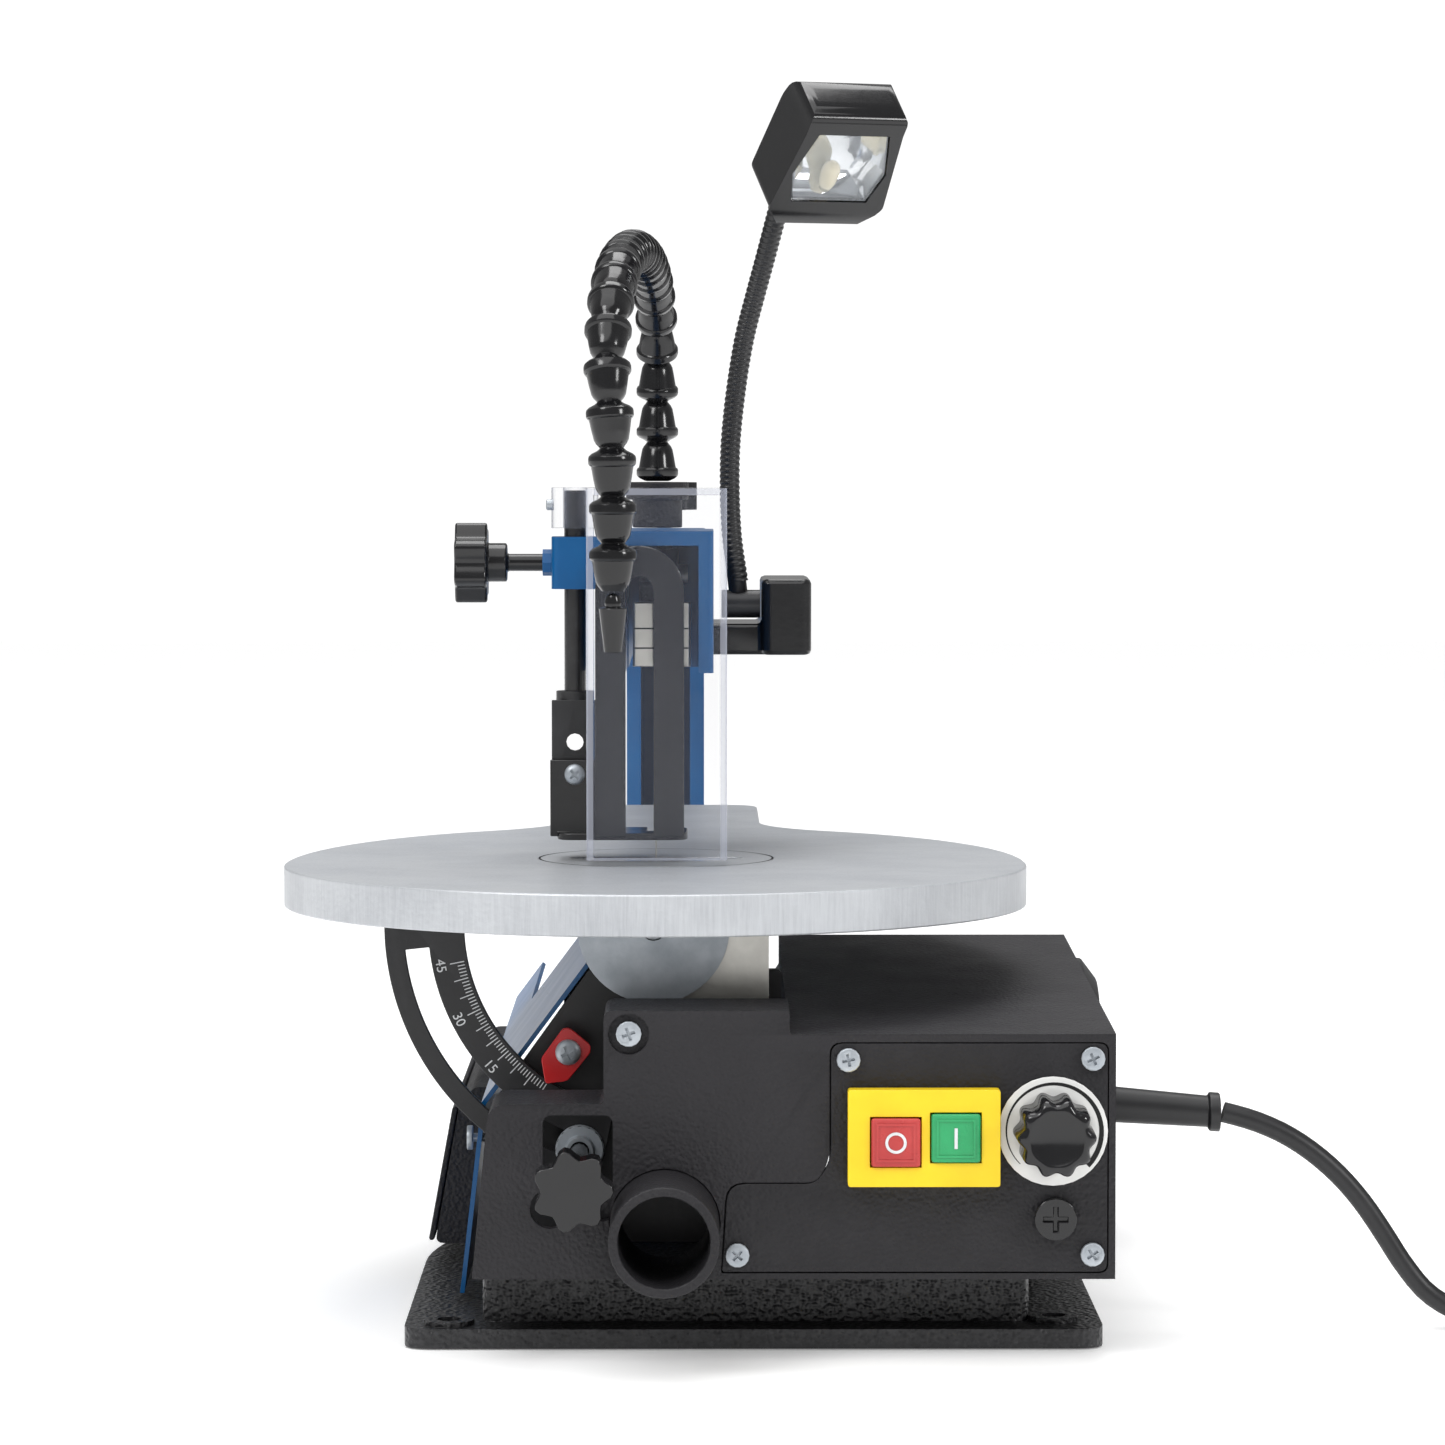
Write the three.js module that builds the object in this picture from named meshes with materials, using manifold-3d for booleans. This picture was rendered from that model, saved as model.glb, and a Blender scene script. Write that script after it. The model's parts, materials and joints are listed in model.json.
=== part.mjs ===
// Bench scroll saw, millimetres. +X is the operator's right, +Y runs back from the operator, +Z is up.
// The origin is on the base's underside, straight below the blade, and the saw stands on z = 0.
import * as THREE from 'three';
import { mergeVertices } from 'three/addons/utils/BufferGeometryUtils.js';
import Module from 'manifold-3d';

const wasm = await Module();
wasm.setup();

// Driving dimensions
const gap = 0.3; // between pieces that touch
const runningGap = 0.4; // round a pin or shaft that turns
const throat = 406; // blade to the column's front face
const tableHeight = 149; // top of the table above the bench
const bladeLength = 127;
const stroke = 15;

const table = {
  radius: 127.5, // half the width, and the front's radius
  centreY: -22,
  rearLength: 170, // from the widest line to where the rear curve would close
  tailHalf: 38,
  tailEnd: 266,
  rim: 13.7,
  sheet: 3,
  insertRadius: 40.4,
  insertThick: 2.7,
  ledge: 3,
  slotLength: 60,
  slotWidth: 6,
};
const tilt = { height: tableHeight - 15, max: 45 }; // the tilt axis runs along Y above the origin
const base = { left: -81, right: 146.5, front: -133, plate: 6.4, plateau: 26, wall: 5, rear: 455 };
const housing = {
  front: -155,
  back: 80,
  left: -57.7,
  right: 148,
  divider: 43.9,
  bottom: base.plateau + gap,
  wall: 3,
};
const panel = { thick: 5, shoulder: 105, middle: 112.5, step: 82.6, stepX: -15.5, skirt: 37 };
const cover = { thick: 3, left: 22.3, right: 145.4, bottom: 28.6, top: 102 };
const dust = { x: 4, z: 44, radius: 17.5, wall: 3, reach: 39, flange: 3.5 };
const blade = { thick: 0.6, width: 3, pinRadius: 0.9, pinLength: 8, bottom: tableHeight - 54 };
const arms = {
  pivotY: throat + 14,
  upperZ: blade.bottom + bladeLength + 16,
  lowerZ: blade.bottom - 2,
  half: 6,
  height: 20,
  pinRadius: 4,
};
const frame = {
  left: -16,
  right: 17,
  wall: 6,
  armTop: arms.upperZ + 25,
  armBottom: arms.upperZ - 24,
  rear: throat + 54,
};
const crank = { y: 120, z: 66, pinRadius: 3, armPinZ: arms.lowerZ + 4 };
const rod = { x: -28, y: -4, radius: 3.75, bottom: frame.armBottom - 15.5, top: frame.armTop + 14 };
const guard = {
  left: -23.5,
  right: 24.5,
  front: -38,
  back: -20.4,
  bottom: tableHeight + 2,
  top: rod.top + 1,
  wall: 2.4,
};
const lock = { angle: 18.2, radius: 79, shaft: 3 }; // degrees to the left of straight down, from the tilt axis
const scale = { inner: 63, outer: 89.5, slot: 8, front: -87, thick: 3 };
const side = { front: -80, step: 112, rear: 250, sheet: 1.5 };
const lamp = {
  hingeY: 52,
  hingeZ: arms.upperZ - 2,
  headLength: 52,
  headWidth: 37,
  headWide: 44,
  headThick: 25,
};
const cord = { radius: 3.5, coilX: 322, coilY: -70, coilMiddle: 39, coilHalf: 7.2, coilHeight: 28.4 };

// Colours
const paint = (color, roughness, metalness = 0) =>
  new THREE.MeshStandardMaterial({ color, roughness, metalness });
const blue = paint(0x0a5c9e, 0.3);
const casting = paint(0x2a2a2c, 0.6);
const plastic = paint(0x2f2e31, 0.6);
const gloss = paint(0x101012, 0.2);
const zinc = paint(0xb8bec4, 0.35, 0.9);
const steel = paint(0xd0d2d0, 0.3, 0.9);
const yellow = paint(0xf4d21a, 0.4);
const red = paint(0xd02828, 0.4);
const green = paint(0x2aa060, 0.4);
const white = paint(0xe8e8e6, 0.4);
const clear = paint(0xe8eef2, 0.1);

// The bare closed surface of a geometry, as a solid that can be joined and cut.
function solid(geometry) {
  const bare = geometry.index ? geometry.toNonIndexed() : geometry.clone();
  bare.deleteAttribute('normal');
  bare.deleteAttribute('uv');
  const merged = mergeVertices(bare, 1e-4);
  const kept = [];
  const index = merged.index.array;
  for (let i = 0; i < index.length; i += 3) {
    const [a, b, c] = [index[i], index[i + 1], index[i + 2]];
    if (a !== b && b !== c && c !== a) kept.push(a, b, c);
  }
  const vertProperties = merged.attributes.position.array;
  const triVerts = new Uint32Array(kept);
  return new wasm.Manifold(new wasm.Mesh({ numProp: 3, vertProperties, triVerts }));
}

const join = (...parts) => parts.reduce((sum, part) => sum.add(part));
const cut = (body, ...tools) => tools.reduce((rest, tool) => rest.subtract(tool), body);

const group = new THREE.Group();
function piece(name, body, material) {
  const { vertProperties, triVerts } = body.getMesh();
  const geometry = new THREE.BufferGeometry();
  geometry.setAttribute('position', new THREE.BufferAttribute(new Float32Array(vertProperties), 3));
  geometry.setIndex(new THREE.BufferAttribute(new Uint32Array(triVerts), 1));
  geometry.computeVertexNormals();
  const mesh = new THREE.Mesh(geometry, material);
  mesh.name = name;
  group.add(mesh);
}

// Outlines are drawn in the two row axes across the direction that they are extruded in: YZ, XZ or XY.
const turns = {
  x: new THREE.Matrix4().set(0, 0, 1, 0, 1, 0, 0, 0, 0, 1, 0, 0, 0, 0, 0, 1),
  y: new THREE.Matrix4().set(1, 0, 0, 0, 0, 0, -1, 0, 0, 1, 0, 0, 0, 0, 0, 1),
  z: new THREE.Matrix4(),
};

function prism(outline, axis, from, to, curveSegments = 4) {
  const geometry = new THREE.ExtrudeGeometry(outline, {
    depth: to - from,
    bevelEnabled: false,
    curveSegments,
  });
  geometry.translate(0, 0, axis === 'y' ? -to : from);
  return solid(geometry.applyMatrix4(turns[axis]));
}

function circle(u, v, radius) {
  const outline = new THREE.Shape();
  outline.absarc(u, v, radius, 0, 2 * Math.PI);
  return outline;
}

const round = (axis, from, to, u, v, radius, sides = 16) =>
  prism(circle(u, v, radius), axis, from, to, sides / 2);

function box(x0, x1, y0, y1, z0, z1) {
  const geometry = new THREE.BoxGeometry(x1 - x0, y1 - y0, z1 - z0);
  return solid(geometry.translate((x0 + x1) / 2, (y0 + y1) / 2, (z0 + z1) / 2));
}

// A polygon whose corners [u, v, radius] are rounded, as far as the edges beside them allow.
function rounded(corners) {
  const outline = new THREE.Shape();
  const at = (i) => new THREE.Vector2(...corners[(i + corners.length) % corners.length]);
  corners.forEach(([u, v, wanted = 0], i) => {
    const corner = at(i);
    const before = at(i - 1).sub(corner);
    const after = at(i + 1).sub(corner);
    const radius = Math.min(wanted, 0.48 * before.length(), 0.48 * after.length());
    const start = corner.clone().add(before.setLength(radius));
    const end = corner.clone().add(after.setLength(radius));
    if (i) outline.lineTo(start.x, start.y);
    else outline.moveTo(start.x, start.y);
    if (radius) outline.quadraticCurveTo(u, v, end.x, end.y);
  });
  return outline;
}

const rectangle = (u0, u1, v0, v1, radius = 0) =>
  rounded([
    [u0, v0, radius],
    [u1, v0, radius],
    [u1, v1, radius],
    [u0, v1, radius],
  ]);

// Turned about a line along the given axis. The profile is [radius, place along the axis].
function turned(profile, axis, u, v, sides = 20) {
  const points = profile.map(([r, along]) => new THREE.Vector2(r, along));
  const geometry = new THREE.LatheGeometry(points, sides);
  geometry.rotateX(Math.PI / 2);
  if (axis === 'y') geometry.rotateX(Math.PI / 2).scale(1, -1, -1);
  if (axis === 'x') geometry.rotateY(Math.PI / 2);
  const place = { x: [0, u, v], y: [u, 0, v], z: [u, v, 0] }[axis];
  return solid(geometry.translate(...place));
}

function tube(points, radius, steps, sides = 8) {
  const path = new THREE.CatmullRomCurve3(points.map((p) => new THREE.Vector3(...p)), false, 'centripetal');
  const section = new THREE.Shape();
  section.absarc(0, 0, radius, 0, 2 * Math.PI);
  return solid(
    new THREE.ExtrudeGeometry(section, { extrudePath: path, steps, curveSegments: sides / 2 }),
  );
}

// A hand knob's outline: a circle with shallow hollows between its lobes.
function lobed(u, v, radius, lobes, hollow) {
  const outline = new THREE.Shape();
  const count = lobes * 6;
  for (let i = 0; i < count; i += 1) {
    const angle = (2 * Math.PI * i) / count;
    const r = radius - hollow * (0.5 - 0.5 * Math.cos(lobes * angle));
    const point = [u + r * Math.cos(angle), v + r * Math.sin(angle)];
    if (i) outline.lineTo(...point);
    else outline.moveTo(...point);
  }
  return outline;
}

// Base: a plate with a raised, hollow plateau, a spine to the rear foot and four bolt holes.
const pads = [
  [-66.6, -122],
  [131, -115],
  [-42, 438],
  [62, 438],
];

function baseCasting() {
  const { left, right, front, plate, plateau, wall, rear } = base;
  const outline = rounded([
    [left, front, 9],
    [right, front, 9],
    [right, 160, 30],
    [56, 212, 30],
    [56, 345, 12],
    [80, 372, 14],
    [80, rear, 14],
    [-60, rear, 14],
    [-60, 372, 14],
    [-45, 345, 12],
    [-45, 190, 30],
    [left, 26, 20],
  ]);
  const raised = join(
    prism(rectangle(-56, 123, -118, 80, 6), 'z', 0, plateau),
    prism(rectangle(-30, 40, 60, 440, 6), 'z', 0, 20),
  );
  const pocket = (x0, x1, y0, y1, height) => prism(rectangle(x0, x1, y0, y1, 4), 'z', -1, height);
  const pockets = [
    pocket(-51, -8, -113, 75, plateau - wall),
    pocket(8, 118, -113, 75, plateau - wall),
    pocket(-25, -8, 90, 430, 20 - wall),
    pocket(8, 35, 90, 430, 20 - wall),
  ];
  const collars = pads.map(([x, y]) => round('z', 0, plate + 1.6, x, y, 8.25));
  const holes = pads.map(([x, y]) => round('z', -1, plate + 3, x, y, 4));
  return cut(join(prism(outline, 'z', 0, plate), raised, ...collars), ...pockets, ...holes);
}

// Lower housing: the front panel with its skirt, and the deep box on the right over the electrics.
function panelOutline(inset) {
  const lean = 5.4; // the left edge leans in towards the top
  return rounded([
    [housing.left + inset, housing.bottom + inset, 1],
    [housing.right - inset, housing.bottom + inset, 1],
    [housing.right - inset, panel.shoulder - inset, 4],
    [housing.divider - inset, panel.shoulder - inset, 1],
    [housing.divider - inset, panel.middle - inset, 1],
    [panel.stepX + inset, panel.middle - inset, 3],
    [panel.stepX + inset, panel.step - inset, 2],
    [housing.left + lean + inset, panel.step - inset, 6],
  ]);
}

function rightBox(inset, front, back) {
  const topFront = panel.shoulder - inset;
  const topBack = panel.shoulder + 9.5 - inset;
  const sideView = rounded([
    [front, housing.bottom + inset],
    [back, housing.bottom + inset],
    [back, topBack],
    [housing.front, topFront],
  ]);
  return prism(sideView, 'x', housing.divider + inset, housing.right - inset);
}

const coverSpan = { sweepX: 28, waistX: 52, waistZ: 57, riseZ: 69 };
function coverOutline(inset) {
  const { left, right, bottom, top } = cover;
  const { sweepX, waistX, waistZ, riseZ } = coverSpan;
  return rounded([
    [left + inset, bottom + inset, 1],
    [right - inset, bottom + inset, 3],
    [right - inset, top - inset, 3],
    [waistX + 5 + inset, top - inset, 4],
    [waistX + 5 + inset, riseZ - 5 - inset, 10],
    [waistX - inset, waistZ - inset, 3],
    [sweepX - 4 + inset, waistZ - inset, 6],
  ]);
}

const coverScrews = [
  [62.6, 96.8],
  [140.6, 97.2],
  [140.6, 34.4],
  [27.2, 34.2],
];
const screwHole = 1.8;
const switchBlock = { left: 62.3, right: 110.8, bottom: 56.9, top: 87.9, proud: 6.7, depth: 30, lip: 3.2 };
const dial = { x: 127.9, z: 74, plate: 17.5, knob: 14, shaft: 3 };
const fuse = { x: 128.7, z: 46, radius: 6.85, stem: 5 };
const lockPoint = {
  x: -lock.radius * Math.sin((lock.angle * Math.PI) / 180),
  z: tilt.height - lock.radius * Math.cos((lock.angle * Math.PI) / 180),
};

function lowerHousing() {
  const { front, wall, back } = housing;
  const shell = join(
    prism(panelOutline(0), 'y', front, front + panel.skirt),
    rightBox(0, front, back),
  );
  const hollow = join(
    prism(panelOutline(wall), 'y', front + panel.thick, front + panel.skirt + 1),
    rightBox(wall, front + panel.thick, back + 1),
  );
  const recess = prism(coverOutline(-runningGap), 'y', front - 1, front + cover.thick + gap);
  const opening = prism(coverOutline(9), 'y', front - 1, front + panel.thick + 1);
  const window = join(
    prism(rectangle(lockPoint.x - 10.3, lockPoint.x + 12.1, 45, 79, 3), 'y', front - 1, front + 10),
    round('y', front - 1, front + 10, lockPoint.x - 8, lockPoint.z - 10, 6.5),
  );
  const port = round('y', front - 1, front + 10, dust.x, dust.z, dust.radius + runningGap, 32);
  const flangeRoom = round(
    'y',
    front + panel.thick,
    front + panel.skirt + 1,
    dust.x,
    dust.z,
    dust.radius + dust.flange + gap,
    32,
  );
  const threads = coverScrews.map(([x, z]) => round('y', front, front + 8, x, z, screwHole, 10));
  const screwSeat = join(
    round('y', front - 1, front + 2, -7.5, 105, 6.6, 20),
    round('y', front, front + 8, -7.5, 105, screwHole, 10),
  );
  const scaleWay = box(housing.divider - 1, housing.divider + 8, scale.front - 5, scale.front + 7, 32, 96);
  return cut(shell, hollow, recess, opening, window, port, flangeRoom, ...threads, screwSeat, scaleWay);
}

function controlCover() {
  const { front } = housing;
  const { left, right, bottom, top, lip } = switchBlock;
  const plate = prism(coverOutline(0), 'y', front, front + cover.thick);
  const through = (cutter) => prism(cutter, 'y', front - 1, front + 9, 8);
  const switchHole = rectangle(
    left + lip - runningGap,
    right - lip + runningGap,
    bottom + lip - runningGap,
    top - lip + runningGap,
  );
  return cut(
    plate,
    ...coverScrews.map(([x, z]) => through(circle(x, z, screwHole))),
    through(switchHole),
    through(circle(dial.x, dial.z, dial.shaft + runningGap)),
    through(circle(fuse.x, fuse.z, fuse.stem + runningGap)),
  );
}

// A pan-head screw along Y or X, its head outside the face at the given place.
function screw(axis, face, u, v, headRadius, sign = -1) {
  const along = [face + sign * gap, face + sign * 2.2, face - sign * 4.5];
  const head = round(axis, Math.min(along[0], along[1]), Math.max(along[0], along[1]), u, v, headRadius, 14);
  const shank = round(axis, Math.min(along[0], along[2]), Math.max(along[0], along[2]), u, v, 1.5, 8);
  return join(head, shank);
}

function dustPort() {
  const { x, z, radius, wall, reach } = dust;
  const from = housing.front - reach;
  const to = housing.front + 25;
  const flange = housing.front + panel.thick + gap;
  return cut(
    join(
      round('y', from, to, x, z, radius, 32),
      round('y', flange, flange + 2.5, x, z, radius + dust.flange, 32),
    ),
    round('y', from - 1, to + 1, x, z, radius - wall, 32),
  );
}

const buttons = [
  { name: 'stop_button', x: 77.5, z: 71.2, material: red },
  { name: 'start_button', x: 96.6, z: 72.6, material: green },
];
const cap = { width: 15.6, height: 15.4, proud: 8.2, travel: 3 };

function switchBezel() {
  const { left, right, bottom, top, proud, depth, lip } = switchBlock;
  const face = housing.front;
  const body = join(
    prism(rectangle(left, right, bottom, top, 1), 'y', face - proud, face - gap),
    box(left + lip, right - lip, face - 1, face + depth, bottom + lip, top - lip),
  );
  const pockets = buttons.map(({ x, z }) => {
    const [w, h] = [cap.width / 2 + runningGap, cap.height / 2 + runningGap];
    return box(x - w, x + w, face - 20, face + cap.travel, z - h, z + h);
  });
  return cut(body, ...pockets);
}

function buttonCap({ x, z }) {
  const outline = rectangle(x - cap.width / 2, x + cap.width / 2, z - cap.height / 2, z + cap.height / 2, 1);
  return prism(outline, 'y', housing.front - cap.proud, housing.front - 0.6);
}

function speedDialPlate() {
  const face = housing.front;
  const { left, right, bottom, top } = switchBlock;
  return cut(
    round('y', face - 1 - gap, face - gap, dial.x, dial.z, dial.plate, 32),
    round('y', face - 3, face + 1, dial.x, dial.z, dial.shaft + runningGap),
    box(left, right + gap, face - 3, face + 1, bottom - gap, top + gap),
  );
}

function speedKnob() {
  const back = housing.front - 1 - 2 * gap;
  return join(
    round('y', back - 4, back, dial.x, dial.z, dial.knob, 28),
    prism(lobed(dial.x, dial.z, 11.5, 10, 1.2), 'y', back - 20, back - 4),
    round('y', back - 1, housing.front + 15, dial.x, dial.z, dial.shaft, 12),
  );
}

function fuseCap() {
  const face = housing.front - gap;
  return cut(
    join(
      round('y', face - 3.4, face, fuse.x, fuse.z, fuse.radius, 20),
      round('y', face - 1, housing.front + 12, fuse.x, fuse.z, fuse.stem, 14),
    ),
    box(fuse.x - 4, fuse.x + 4, face - 5, face - 2, fuse.z - 0.8, fuse.z + 0.8),
    box(fuse.x - 0.8, fuse.x + 0.8, face - 5, face - 2, fuse.z - 4, fuse.z + 4),
  );
}

// Left side: a bent sheet-steel cover that carries the storage box.
const bend = {
  footX: -65,
  footZ: 9.5,
  ridgeX: -57.7,
  ridgeZ: 73.5,
  topX: -22.9,
  topZ: tilt.height - 14,
};
function sideCover() {
  const { footX, footZ, ridgeX, ridgeZ, topX, topZ } = bend;
  const section = (share) => {
    const endX = ridgeX + (topX - ridgeX) * share;
    const endZ = ridgeZ + (topZ - ridgeZ) * share;
    return rounded([
      [footX, footZ],
      [footX + side.sheet, footZ],
      [ridgeX + side.sheet, ridgeZ - 0.6],
      [endX + 1.2, endZ - 0.9],
      [endX, endZ],
      [ridgeX, ridgeZ],
    ]);
  };
  const screwWay = round('x', -70, -50, side.front + 6, 61, screwHole, 8);
  return cut(
    join(prism(section(1), 'y', side.front, side.step), prism(section(0.3), 'y', side.step - 1, side.rear)),
    screwWay,
  );
}

const store = { front: 5, rear: 195, footX: -80, footZ: 16, brimX: -71.5, brimZ: 61, skin: 2 };
function storageBox() {
  const { front, rear, footX, footZ, brimX, brimZ, skin } = store;
  const lidRoom = skin + gap;
  const outline = rounded([
    [footX + lidRoom, footZ - 3, 3],
    [-64.9, footZ - 3],
    [-58.7, 68, 1],
    [-64, 68, 2],
    [brimX + lidRoom, brimZ],
  ]);
  const pocket = rounded([
    [footX - 5, footZ],
    [-66.7, footZ],
    [-61.6, brimZ - skin],
    [brimX - 5, brimZ - skin],
  ]);
  return cut(prism(outline, 'y', front, rear), prism(pocket, 'y', front + skin, rear - skin));
}

function storageLid() {
  const { front, rear, footX, footZ, brimX, brimZ, skin } = store;
  const outline = rounded([
    [footX, footZ - 2, 0.8],
    [footX + skin, footZ - 2, 0.8],
    [brimX + skin, brimZ, 0.8],
    [brimX, brimZ, 0.8],
  ]);
  return prism(outline, 'y', front, rear, 2);
}

// Fixed C frame: hollow upper arm and column with the rocker arms inside it.
const head = { right: 20, back: 40, channelLeft: -10.5, channelRight: 14.8, front: -14 };
const clampBoss = {
  left: -36,
  halfY: 9,
  bottom: frame.armTop - 20,
  top: frame.armTop - 2,
  studZ: frame.armTop - 11,
};
const tensionY = arms.pivotY + 25;

const topFall = { start: head.back + 20, drop: 7 }; // the arm's top falls towards the rear
const armTopAt = (y) =>
  frame.armTop - (topFall.drop * (y - topFall.start)) / (frame.rear - topFall.start);

function armSide(inset) {
  const { armTop, armBottom, rear } = frame;
  const open = inset ? 6 : 0; // the channel is open at the front and along the bottom
  return rounded([
    [head.front - open, armBottom - open * 3],
    [throat - 25 + (inset ? 15 : 0), armBottom - open * 3, inset ? 0 : 12],
    [throat - (inset ? 10 : 0), armBottom - 22, inset ? 0 : 8],
    [throat - (inset ? 10 : 0), inset ? 74 : base.plate + gap],
    [rear - inset, inset ? 74 : base.plate + gap],
    [rear - inset, armTop - topFall.drop - inset, inset ? 2 : 12],
    [topFall.start, armTop - inset],
    [head.front - open, armTop - inset, inset ? 0 : 3],
  ]);
}

function cFrame() {
  const { left, right, armTop, armBottom, wall, rear } = frame;
  const body = join(
    prism(armSide(0), 'x', left, right),
    prism(rectangle(left, head.right, head.front, head.back, 2), 'z', armBottom, armTop),
    prism(rectangle(-40, 50, 385, rear - 8, 8), 'z', 20 + gap, 32),
    box(left - 6, right + 6, throat, rear, 26, 48),
  );
  const channel = join(
    prism(armSide(wall - 0.5), 'x', head.channelLeft + 0.5, right - wall),
    box(head.channelLeft, head.channelRight, head.front - 1, head.back - 5, armBottom - 1, armTop - 5),
  );
  const boss = join(
    prism(
      rectangle(clampBoss.left, left + 1, rod.y - clampBoss.halfY, rod.y + clampBoss.halfY, 3),
      'z',
      clampBoss.bottom,
      clampBoss.top,
    ),
    round('x', clampBoss.left - 3.2, clampBoss.left + 2, rod.y, clampBoss.studZ, 4.6, 8),
  );
  const pinHole = (z) => round('x', left - 1, right + 1, arms.pivotY, z, arms.pinRadius + runningGap);
  const spine = box(-60, 60, 300, throat + 1, -1, 20 + gap);
  return cut(
    join(cut(body, channel, spine), boss),
    box(left - 30, right + 50, 380, rear + 5, 0, 20 + gap),
    pinHole(arms.upperZ),
    pinHole(arms.lowerZ),
    round('z', 100, armTop + 1, 0, tensionY, 4.2, 12),
    round('z', 200, armTop + 1, rod.x, rod.y, rod.radius + gap, 20),
    round('x', -60, rod.x, rod.y, clampBoss.studZ, 3 + gap, 12),
  );
}

const pivotPin = (z) =>
  round('x', frame.left - 3, frame.right + 3, arms.pivotY, z, arms.pinRadius, 16);

// Rocker arms, clamps, blade and the rear tension rod. At rest they are at mid stroke.
function rockerArm(z, front) {
  const half = arms.height / 2;
  const sideView = rounded([
    [front, z - half + 3, 2],
    [front + 50, z - half],
    [tensionY + 8, z - half, 3],
    [tensionY + 8, z + half, 3],
    [front + 50, z + half],
    [front, z + half - 3, 2],
  ]);
  return cut(
    prism(sideView, 'x', -arms.half, arms.half),
    round('x', -20, 20, arms.pivotY, z, arms.pinRadius + runningGap),
    round('z', z - 30, z + 30, 0, tensionY, 3 + runningGap, 12),
  );
}

const clampReach = 7;
const bladeTop = blade.bottom + bladeLength;
function bladeClamp(left, right, bottom, top, pinZ) {
  const reach = blade.pinRadius + 1.2;
  const room = blade.thick / 2 + 0.7;
  return cut(
    prism(rectangle(left, right, -clampReach, clampReach, 1), 'z', bottom, top),
    box(-room, room, -clampReach - 1, blade.width / 2 + 0.7, bottom - 1, top + 1),
    box(-blade.pinLength / 2 - 0.6, blade.pinLength / 2 + 0.6, -reach, reach, pinZ - 2.4, pinZ + 2.4),
  );
}

const pinInset = 3;
function sawBlade() {
  const pin = (z) =>
    round('x', -blade.pinLength / 2, blade.pinLength / 2, 0, z, blade.pinRadius, 8);
  const body = box(
    -blade.thick / 2,
    blade.thick / 2,
    -blade.width / 2,
    blade.width / 2,
    blade.bottom,
    bladeTop,
  );
  return join(body, pin(blade.bottom + pinInset), pin(bladeTop - pinInset));
}

function lowerArm() {
  const pin = round('x', arms.half - 1, 14, crank.y, crank.armPinZ, crank.pinRadius, 12);
  return join(rockerArm(arms.lowerZ, clampReach + gap), pin);
}

function tensionRod() {
  const foot = arms.lowerZ - arms.height / 2 - 0.7;
  return join(
    round('z', foot - 1, frame.armTop - 1, 0, tensionY, 3, 12),
    round('z', foot - 7, foot, 0, tensionY, 6, 6),
  );
}

function tensionKnob() {
  const foot = frame.armTop - 4;
  return cut(
    join(
      prism(lobed(0, tensionY, 14, 7, 3), 'z', foot + 6, foot + 18),
      round('z', foot, foot + 7, 0, tensionY, 7),
    ),
    round('z', foot - 1, frame.armTop - 1 + gap, 0, tensionY, 3 + gap, 12),
  );
}

// Drive: the motor's crank turns inside the big eye of a rod that hangs from the lower arm.
const throwRadius = ((stroke / 2) * (arms.pivotY - crank.y)) / arms.pivotY;
const rodPlate = { left: arms.half + 2, right: arms.half + 7 };
const bigEye = crank.pinRadius + 2 * throwRadius + 1;

function crankShaft() {
  const { y, z, pinRadius } = crank;
  return join(
    round('x', rodPlate.left, rodPlate.right + 3, y, z + throwRadius, pinRadius, 12),
    round('x', rodPlate.right + 2, rodPlate.right + 7, y, z, 11, 20),
    round('x', rodPlate.right + 6, 50, y, z, 4, 12),
  );
}

function connectingRod() {
  const { left, right } = rodPlate;
  const { y, z, armPinZ, pinRadius } = crank;
  return cut(
    join(
      round('x', left, right, y, z, bigEye + 5, 28),
      round('x', left, right, y, armPinZ, pinRadius + 4),
      box(left, right, y - 6, y + 6, z + bigEye, armPinZ),
    ),
    round('x', left - 1, right + 1, y, z, bigEye, 28),
    round('x', left - 1, right + 1, y, armPinZ, pinRadius + gap),
  );
}

function motor() {
  const { y, z } = crank;
  const radius = 36;
  const from = 42;
  const to = 163;
  return cut(
    join(
      turned(
        [
          [0, from],
          [radius - 6, from],
          [radius, from + 4],
          [radius, to - 6],
          [radius - 8, to],
          [0, to],
        ],
        'x',
        y,
        z,
        32,
      ),
      box(64, 138, y - 24, y + 24, base.plate + gap, z - 10),
    ),
    round('x', from - 1, 54, y, z, 4 + runningGap),
  );
}

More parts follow.
